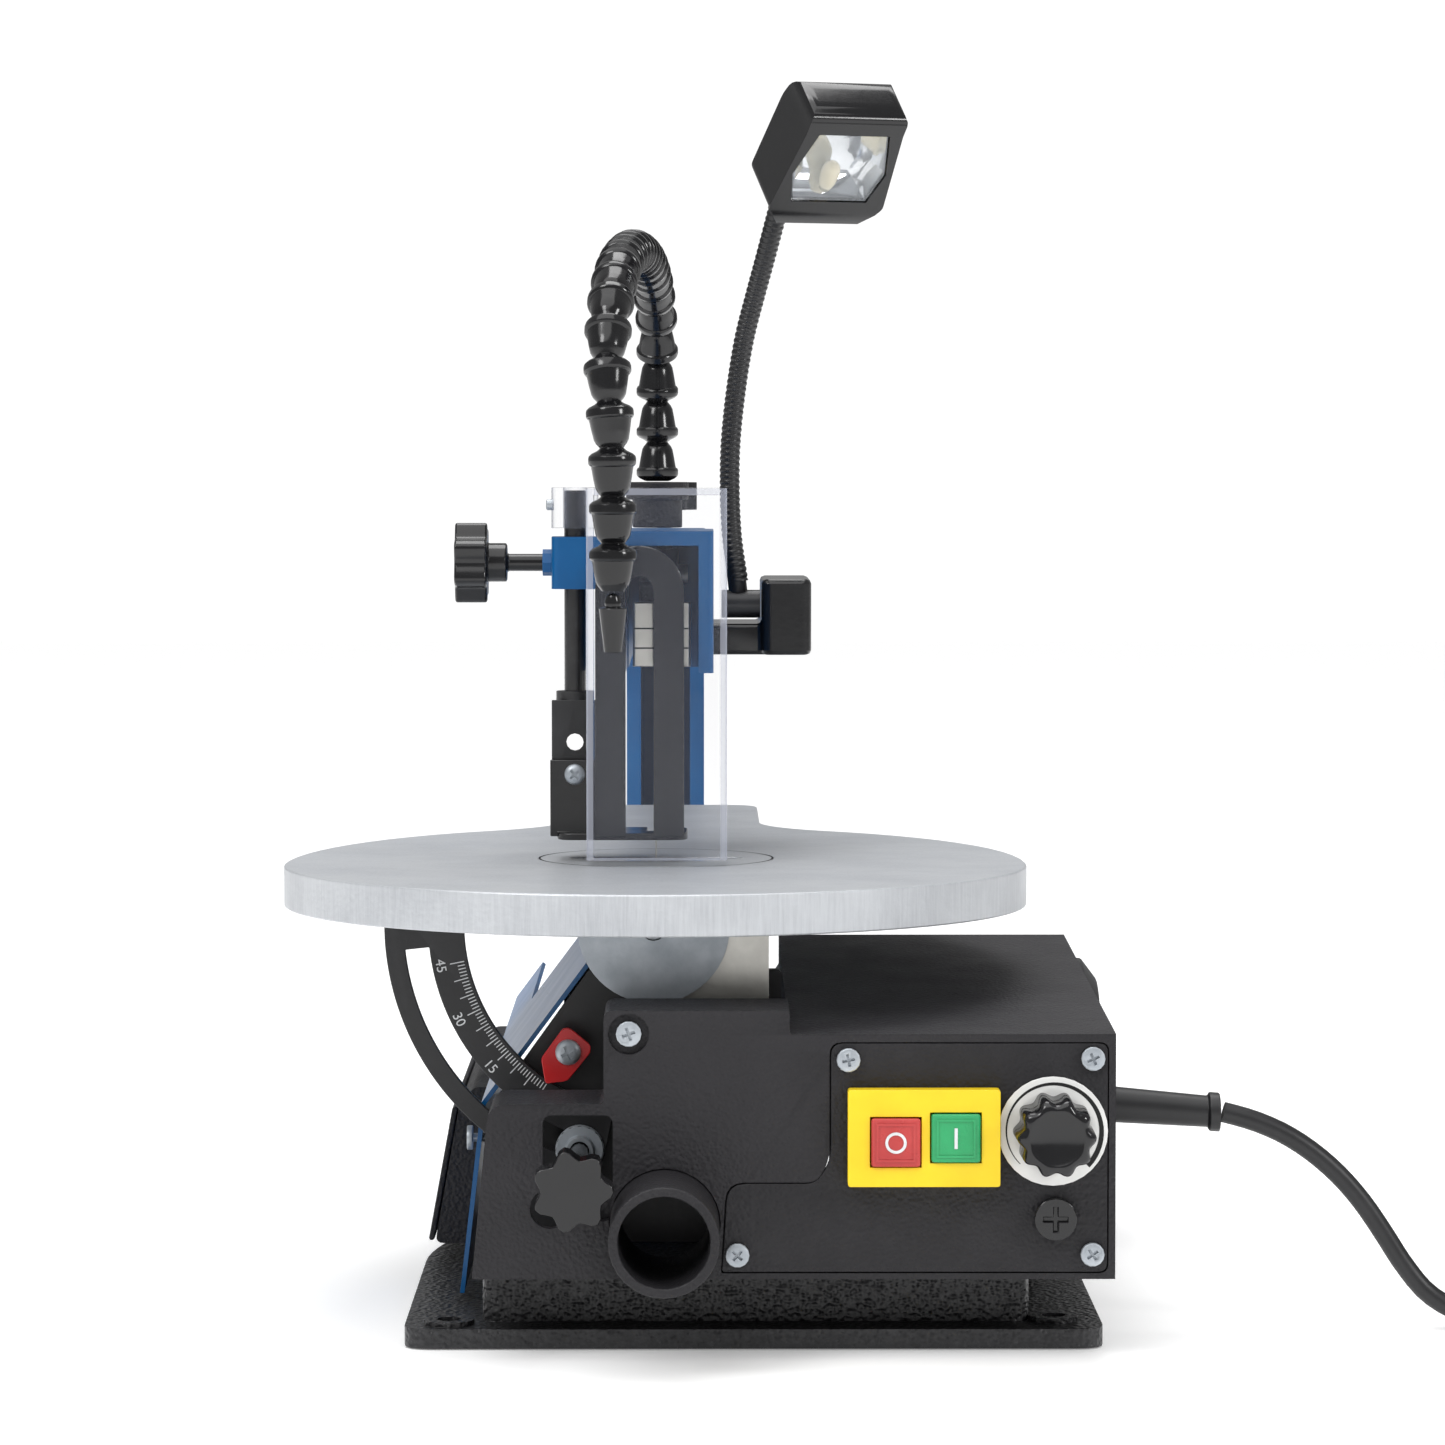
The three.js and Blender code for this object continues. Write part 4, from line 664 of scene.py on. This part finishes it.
# Loose screws that carry no name of their own: pointer screw and foot screw.
extraScrews = {
    "pointer_screw": {"place": (-28.4, -91.1, 91.7), "radius": 4.3, "body": "tilt_pointer", "roll": 27, "rise": 2.3},
    "foot_screw": {"place": (-28, -13.4, 179), "radius": 3.6, "body": "hold_down_foot", "roll": 40, "rise": 2.0},
}
screwHead = [(0, 0), (1, 0), (1, 0.3), (0.9, 0.62), (0.66, 0.88), (0.3, 1), (0, 1)]  # shares of radius and rise
for name, values in extraScrews.items():
    radius, rise = values["radius"], values["rise"]
    profile = [(radius * out, rise * up) for out, up in screwHead]
    mesh = meshFrom(name, turnedForm(profile, 36), aim(values["place"], (0, -1, 0)))
    piece = addPiece(name, mesh, "zincPlate", bodyOf(values["body"]))
    top = Vector(values["place"]) - Vector((0, rise, 0))
    carve(piece, crossTool(top, (0, -1, 0), radius * looseRecess["reach"], radius * looseRecess["half"],
                           looseRecess["depth"], values["roll"]))

# Tilt scale: fine white degree marks and plain numbers on the sector plate.
scaleMarks = {"middleZ": 134, "face": -87.0, "zero": 33.8, "inner": 64.2, "short": 66.6, "long": 69.0, "half": 0.16,
              "numbers": 72.2, "size": 4.6}


def makeScaleMarks(values):
    form = bmesh.new()
    for degree in range(46):
        turn = -math.pi / 2 - math.radians(values["zero"] + degree)
        outward = Vector((math.cos(turn), 0, math.sin(turn)))
        across = Vector((-math.sin(turn), 0, math.cos(turn))) * values["half"]
        centre = Vector((0, values["face"] - 0.06, values["middleZ"]))
        end = values["long"] if degree % 5 == 0 else values["short"]
        first, last = centre + outward * values["inner"], centre + outward * end
        corners = [first - across, first + across, last + across, last - across]
        form.faces.new([form.verts.new(corner * millimetre) for corner in corners])
    mesh = meshFrom("scaleMarks", form)
    addPiece("scale_marks", mesh, "markWhite", bodyOf("tilt_scale"))


def makeNumber(text, place, size, turn, finish, body):
    data = bpy.data.curves.new("number" + text, "FONT")
    data.body = text
    data.size = size * millimetre
    data.align_x = "CENTER"
    data.align_y = "CENTER"
    data.extrude = 0.03 * millimetre
    holder = bpy.data.objects.new("numberHolder", data)
    bpy.context.scene.collection.objects.link(holder)
    bpy.context.view_layer.update()
    mesh = bpy.data.meshes.new_from_object(holder.evaluated_get(bpy.context.evaluated_depsgraph_get()))
    bpy.data.objects.remove(holder)
    mesh.transform(frontal(place) @ Matrix.Rotation(turn, 4, "Z"))
    addPiece("number_" + text, mesh, finish, body)


makeScaleMarks(scaleMarks)
for degree in (0, 15, 30, 45):
    turn = -math.pi / 2 - math.radians(scaleMarks["zero"] + degree)
    place = (scaleMarks["numbers"] * math.cos(turn), scaleMarks["face"] - 0.08,
             scaleMarks["middleZ"] + scaleMarks["numbers"] * math.sin(turn))
    makeNumber(str(degree), place, scaleMarks["size"], turn + math.pi / 2, "markWhite", bodyOf("tilt_scale"))
print("scale marked")

# Push buttons: an inner frame and a plain off or on sign each.
buttons = {"stop_button": ("ring", "stopRed"), "start_button": ("bar", "startGreen")}
buttonFace = {"margin": 1.6, "frame": [(0, 0), (0, 0.35), (-0.7, 0.35), (-0.7, 0.0)], "gap": 0.02,
              "ring": [(2.5, 0), (2.5, 0.3), (3.4, 0.3), (3.4, 0)], "bar": (0.5, 3.3, 0.3)}
for node, (sign, finish) in buttons.items():
    low, high, middle = boxOf(node)
    face = (middle.x, low.y - buttonFace["gap"], middle.z)
    wide = (high.x - low.x) / 2 - buttonFace["margin"]
    tall = (high.z - low.z) / 2 - buttonFace["margin"]
    form = bmesh.new()
    before = None
    for grow, rise in buttonFace["frame"]:
        ring = [form.verts.new(Vector((u * (wide + grow), v * (tall + grow), rise)) * millimetre)
                for u, v in ((-1, -1), (1, -1), (1, 1), (-1, 1))]
        if before:
            for step in range(4):
                following = (step + 1) % 4
                form.faces.new((before[step], before[following], ring[following], ring[step]))
        before = ring
    addPiece(node + "_frame", meshFrom(node + "Frame", form, frontal(face)), finish, bodyOf(node))
    if sign == "ring":
        form = turnedForm(buttonFace["ring"], 36)
    else:
        half, reach, thick = buttonFace["bar"]
        form = plateForm([(-half, -reach), (half, -reach), (half, reach), (-half, reach)], thick)
    addPiece(node + "_sign", meshFrom(node + "Sign", form, frontal(face)), "markWhite", bodyOf(node))
print("buttons signed")

# Speed control: fluted knob with a skirt, and a widening arc on the dial.
knobShape = {"flutes": 10, "depth": 1.7, "skirt": 1.2}


def makeSpeedKnob(values):
    low, high, middle = boxOf("speed_knob")
    radius = (high.x - low.x) / 2
    tall = high.y - low.y
    skirt = values["skirt"]
    rows = [(1.0, 0, 0), (1.0, skirt * 0.6, 0), (0.98, skirt, 0), (0.94, skirt + 0.6, 1),
            (0.9, tall - 2.4, 1), (0.86, tall - 1.1, 0.9), (0.77, tall - 0.3, 0.5), (0.66, tall, 0.1),
            (0.6, tall - 0.15, 0), (0.55, tall - 0.7, 0)]
    sides = values["flutes"] * 12
    form = bmesh.new()
    rings = []
    for share, along, fluted in rows:
        ring = []
        for step in range(sides):
            angle = 2 * math.pi * step / sides
            wave = fluted * values["depth"] * (0.5 - 0.5 * math.cos(values["flutes"] * angle))
            reach = radius * share - wave
            spot = Vector((reach * math.cos(angle), reach * math.sin(angle), along))
            ring.append(form.verts.new(spot * millimetre))
        rings.append(ring)
    for lower, upper in zip(rings, rings[1:]):
        for step in range(sides):
            following = (step + 1) % sides
            form.faces.new((lower[step], lower[following], upper[following], upper[step]))
    form.faces.new(rings[-1])
    form.faces.new(rings[0][::-1])
    mesh = meshFrom("speedKnob", form, frontal((middle.x, high.y, middle.z)))
    addPiece("speed_knob_fluted", mesh, "glossPlastic", bodyOf("speed_knob"), ("speed_knob",))
    return radius, middle


knobRadius, knobMiddle = makeSpeedKnob(knobShape)
dialLow, dialHigh = boxOf("speed_dial_plate")[:2]
dialArc = {"start": 225, "sweep": 270, "thin": 0.25, "knobGap": 0.7, "rimGap": 0.6, "leastRoom": 1.6, "steps": 54,
           "raised": 0.06}


def makeDialArc(inner, outer, values):
    form = bmesh.new()
    before = None
    for step in range(values["steps"] + 1):
        share = step / values["steps"]
        angle = math.radians(values["start"] - values["sweep"] * share)
        reach = inner + values["thin"] + (outer - inner) * share
        pair = [form.verts.new(Vector((radius * math.cos(angle), radius * math.sin(angle), 0)) * millimetre)
                for radius in (inner, reach)]
        if before:
            form.faces.new((before[0], pair[0], pair[1], before[1]))
        before = pair
    place = frontal((knobMiddle.x, dialLow.y - values["raised"], knobMiddle.z))
    addPiece("speed_dial_arc", meshFrom("speedDialArc", form, place), "holeBlack", bodyOf("speed_dial_plate"))


dialRoom = min(knobMiddle.x - dialLow.x, dialHigh.x - knobMiddle.x, knobMiddle.z - dialLow.z,
               dialHigh.z - knobMiddle.z)
if dialRoom - knobRadius > dialArc["leastRoom"]:
    makeDialArc(knobRadius + dialArc["knobGap"], dialRoom - dialArc["rimGap"], dialArc)
print("speed control made", round(knobRadius, 1), round(dialRoom, 1))

# Jointed air line: every link is a flared cup whose waist sits on the next one's ball.
airLine = {
    "path": [(-1, 181, 279), (-1, 181, 298), (-1, 180, 318), (-1, 173, 336), (-2, 152, 350), (-4, 112, 358.5),
             (-7, 60, 361.5), (-10, 10, 359), (-13, -36, 350.5), (-15, -66, 336), (-15.5, -80, 317),
             (-14, -84, 297), (-13.5, -84, 270), (-13.5, -84, 244)],
    "pitch": 15.5, "sides": 32, "spacing": 0.5,
    "rootStart": 0.05,  # the first link has no ball below it
    "link": [(3.4, -1.6), (4.1, -0.4), (5.0, 0.3), (6.9, 1.2), (7.75, 2.0), (7.95, 2.7), (7.95, 4.4), (7.6, 5.0),
             (7.1, 5.3), (6.9, 6.2), (6.4, 9.2), (5.8, 12.2), (5.2, 13.4), (4.5, 14.2), (3.8, 15.2)],
}


def makeAirLine(values):
    line = smoothLine(values["path"], values["spacing"])
    total = len(line) - 1
    length = sum((end - start).length for start, end in zip(line, line[1:]))
    count = round(length / values["pitch"])
    form = bmesh.new()
    for number in range(count):
        start = line[round(total * number / count)]
        end = line[round(total * (number + 1) / count)]
        scale = (end - start).length / values["pitch"]
        first = values["rootStart"] if number == 0 else values["link"][0][1]
        profile = [(radius, max(along, first) * scale) for radius, along in values["link"]]
        profile = [(0, profile[0][1])] + profile + [(0, profile[-1][1])]
        turnedForm(profile, values["sides"], form, aim(start, end - start))
    mesh = meshFrom("airLine", form)
    addPiece("air_line", mesh, "glossPlastic", bodyOf("air_hose"), ("air_hose",), 30)


makeAirLine(airLine)
print("air line made")

# Gooseneck: the wound steel sleeve round the lamp's neck.
neck = {
    "path": [(29, 52, 244), (26.6, 53, 262), (26, 54, 287), (27.4, 54, 306), (31, 52, 330), (35, 48, 346),
             (38.5, 43.5, 359), (43.2, 36.8, 377)],
    "radius": 3.62, "groove": 0.42, "pitch": 2.1, "rings": 6, "sides": 20,  # rings in each wind
}


def makeNeck(values):
    line = smoothLine(values["path"], values["pitch"] / values["rings"])
    form = bmesh.new()
    sides = values["sides"]
    before = None
    for number, spot in enumerate(line):
        ahead = line[min(number + 1, len(line) - 1)] - line[max(number - 1, 0)]
        ripple = 0.5 - 0.5 * math.cos(2 * math.pi * number / values["rings"])
        radius = values["radius"] - values["groove"] * ripple ** 3
        place = aim(spot, ahead)
        ring = [form.verts.new(place @ (Vector((radius * math.cos(2 * math.pi * step / sides),
                                                radius * math.sin(2 * math.pi * step / sides), 0)) * millimetre))
                for step in range(sides)]
        if before:
            shift = min(range(sides), key=lambda turn: sum((before[step].co - ring[(step + turn) % sides].co).length
                                                           for step in (0, 5, 10)))
            ring = ring[shift:] + ring[:shift]
            for step in range(sides):
                following = (step + 1) % sides
                form.faces.new((before[step], before[following], ring[following], ring[step]))
        before = ring
    addPiece("neck_sleeve", meshFrom("neckSleeve", form), "neckSteel", bodyOf("lamp_neck"), (), 60)


makeNeck(neck)
print("gooseneck wound")

# Lamp head: bright reflector and small bulb behind the lens.
lamp = {
    "axis": (0.28, -0.65, 0.706), "across": (-0.65, -0.28, 0), "place": (57.2, 35, 369.5),
    "window": [(-13.5, 43), (-18, 25), (-14.5, 12), (14.5, 12), (18, 25), (13.5, 43)],
    "reflectorMiddle": (0, 27),
    "reflector": [(0.975, 2.2), (0.9, 4.6), (0.78, 8.0), (0.6, 10.6), (0.3, 11.6)],  # share of the window, depth
    "bulbPlace": (0, 14.5, 6.4),
    "bulb": [(0, 0), (2.6, 0), (2.9, 1.2), (3.3, 2.4), (3.4, 6.4), (2.9, 8.6), (1.8, 10.0), (0, 10.6)],
}
lampAxis = Vector(lamp["axis"]).normalized()
lampAcross = Vector(lamp["across"]).normalized()
lampBack = lampAcross.cross(lampAxis)
lampPlace = Matrix((lampAcross, lampAxis, lampBack)).transposed().to_4x4()
lampPlace = Matrix.Translation(Vector(lamp["place"]) * millimetre) @ lampPlace


def makeReflector(values):
    form = bmesh.new()
    window, middle = values["window"], values["reflectorMiddle"]
    before = None
    for share, depth in values["reflector"]:
        ring = [form.verts.new(Vector(((u - middle[0]) * share + middle[0], (v - middle[1]) * share + middle[1],
                                       depth)) * millimetre) for u, v in window]
        if before:
            for step in range(len(window)):
                following = (step + 1) % len(window)
                form.faces.new((before[step], before[following], ring[following], ring[step]))
        before = ring
    form.faces.new(before)
    addPiece("lamp_reflector", meshFrom("lampReflector", form, lampPlace), "chrome", bodyOf("lamp_head"), (), 20)


makeReflector(lamp)
bulb = turnedForm(lamp["bulb"], 28)
bulbPlace = lampPlace @ Matrix.Translation(Vector(lamp["bulbPlace"]) * millimetre)
bulbPlace = bulbPlace @ Matrix.Rotation(-math.pi / 2, 4, "X")
addPiece("lamp_bulb", meshFrom("lampBulb", bulb, bulbPlace), "bulbGlass", bodyOf("lamp_head"), (), 50)
print("lamp fitted")

# Blade clamp: the two dark joints across its face.
clampJoints = {"heights": (6.4, 13.2), "margin": 0.6, "halfWidth": 0.28, "thick": 0.05, "raised": 0.01}
clampLow, clampHigh, clampMiddle = boxOf("upper_clamp")
for number, height in enumerate(clampJoints["heights"], 1):
    half, thin = (clampHigh.x - clampLow.x) / 2 - clampJoints["margin"], clampJoints["halfWidth"]
    groove = plateForm([(-half, -thin), (half, -thin), (half, thin), (-half, thin)], clampJoints["thick"])
    place = frontal((clampMiddle.x, clampLow.y - clampJoints["raised"], clampLow.z + height))
    addPiece(f"clamp_joint_{number}", meshFrom("clampJoint", groove, place), "holeBlack", bodyOf("upper_clamp"))
print("clamp marked")

# Guard: light gathers in the sheet's thickness, so its edges read as pale bands.
guardLow, guardHigh = boxOf("blade_guard")[:2]
guardFront = {"left": -23.5, "right": 24.5, "band": 2.4, "foot": 1.1, "inset": 0.1, "raised": 0.03}


def makeGuardEdges(values):
    form = bmesh.new()
    left, right, band, inset = values["left"], values["right"], values["band"], values["inset"]
    bottom, top = guardLow.z, guardHigh.z
    rows = [(left, left + band, bottom, top), (right - band, right, bottom, top),
            (left + band, right - band, top - band, top),
            (left + band, right - band, bottom, bottom + values["foot"])]
    for start, end, low, high in rows:
        corners = [(start + inset, low + inset), (end, low + inset), (end, high - inset),
                   (start + inset, high - inset)]
        form.faces.new([form.verts.new(Vector((u, guardLow.y - values["raised"], v)) * millimetre)
                        for u, v in corners])
    addPiece("guard_edges", meshFrom("guardEdges", form), "clearEdge", bodyOf("blade_guard"))


makeGuardEdges(guardFront)

# Guard's clear block: the small set screw that holds it on the rod.
setScrew = {"profile": [(0, 0), (1.9, 0), (1.9, 2.2), (1.5, 2.6), (0.9, 2.6), (0.8, 1.4), (0, 1.4)],
            "inFromSide": 0.6, "y": -4, "belowTop": 6}
screwPlace = aim((guardLow.x + setScrew["inFromSide"], setScrew["y"], guardHigh.z - setScrew["belowTop"]), (-1, 0, 0))
addPiece("guard_screw", meshFrom("guardScrew", turnedForm(setScrew["profile"], 24), screwPlace), "zincPlate",
         bodyOf("blade_guard"))

# Tilt lock: zinc washer and nut seen in the cover's window.
lockNut = {
    "profile": [(3.3, 0), (8.1, 0), (8.1, 2.3), (7.7, 2.8), (5.0, 2.9), (5.0, 6.0), (4.5, 6.6), (3.3, 6.6)],
    "place": (-24.67, -87.3, 58.95),
}
lockForm = turnedForm(lockNut["profile"], 36)
addPiece("lock_washer", meshFrom("lockWasher", lockForm, aim(lockNut["place"], (0, -1, 0))), "zincPlate",
         bodyOf("tilt_lock_knob"))

# Table: the shadow line round the insert.
insertLine = {"inner": 40.3, "outer": 40.95, "height": 149.03}
lineForm = turnedForm([(insertLine["inner"], 0), (insertLine["outer"], 0)], 96)
linePlace = Matrix.Translation(Vector((0, 0, insertLine["height"])) * millimetre)
addPiece("insert_line", meshFrom("insertLine", lineForm, linePlace), "holeBlack", bodyOf("table_insert"))
print("small parts added")

studio = {"floorHalf": 6.0, "floorHeight": -0.0004, "floorTone": (250, 250, 250), "floorRough": 0.6,
          "floorGleam": 0.1, "glow": 0.2, "seen": 1.05, "around": 0.36}


def makeFloor(values):
    half, height = values["floorHalf"], values["floorHeight"]
    mesh = bpy.data.meshes.new("studioFloor")
    corners = [(-half, -half, height), (half, -half, height), (half, half, height), (-half, half, height)]
    mesh.from_pydata(corners, [], [(0, 1, 2, 3)])
    floor = bpy.data.objects.new("studioFloor", mesh)
    bpy.context.scene.collection.objects.link(floor)
    material = bpy.data.materials.new("studioFloor")
    material.use_nodes = True
    shader = material.node_tree.nodes["Principled BSDF"]
    shader.inputs["Base Color"].default_value = colour(*values["floorTone"])
    shader.inputs["Roughness"].default_value = values["floorRough"]
    shader.inputs["Specular IOR Level"].default_value = values["floorGleam"]
    shader.inputs["Emission Color"].default_value = (1, 1, 1, 1)
    shader.inputs["Emission Strength"].default_value = values["glow"]
    mesh.materials.append(material)


def makeWorld(values):  # white to the eye, dimmer in reflections, so that dark gloss stays dark
    world = bpy.data.worlds.new("studioWorld")
    world.use_nodes = True
    tree = world.node_tree
    ray = addNode(tree, "ShaderNodeLightPath")
    strength = addNode(tree, "ShaderNodeMapRange", {"Value": ray.outputs["Is Camera Ray"]})
    strength.inputs["To Min"].default_value = values["around"]
    strength.inputs["To Max"].default_value = values["seen"]
    tree.nodes["Background"].inputs["Color"].default_value = (1, 1, 1, 1)
    tree.links.new(strength.outputs["Result"], tree.nodes["Background"].inputs["Strength"])
    bpy.context.scene.world = world


lights = {
    "keyLight": {"place": (-1.1, -1.4, 1.6), "aim": (0, 0, 0.2), "size": 0.7, "power": 13},
    "fillLight": {"place": (1.5, -1.0, 0.9), "aim": (0, 0, 0.15), "size": 0.4, "power": 9},
    "topLight": {"place": (0.1, 0.6, 1.8), "aim": (0, 0.1, 0.1), "size": 1.0, "power": 13},
}
sunLight = {"tilt": (18, -12), "strength": 1.75, "spread": 70}


def makeSun(values):  # even light from above, so the floor is the same white all the way back
    data = bpy.data.lights.new("evenLight", "SUN")
    data.energy = values["strength"]
    data.angle = math.radians(values["spread"])
    light = bpy.data.objects.new("evenLight", data)
    light.rotation_euler = [math.radians(turn) for turn in values["tilt"]] + [0]
    bpy.context.scene.collection.objects.link(light)


def makeLight(name, values):
    data = bpy.data.lights.new(name, "AREA")
    data.shape = "SQUARE"
    data.size = values["size"]
    data.energy = values["power"]
    light = bpy.data.objects.new(name, data)
    light.location = values["place"]
    toward = Vector(values["aim"]) - Vector(values["place"])
    light.rotation_euler = toward.to_track_quat("-Z", "Y").to_euler()
    bpy.context.scene.collection.objects.link(light)


makeFloor(studio)
makeWorld(studio)
makeSun(sunLight)
for name, values in lights.items():
    makeLight(name, values)
bpy.context.scene.view_settings.view_transform = "Standard"
print("studio lit")
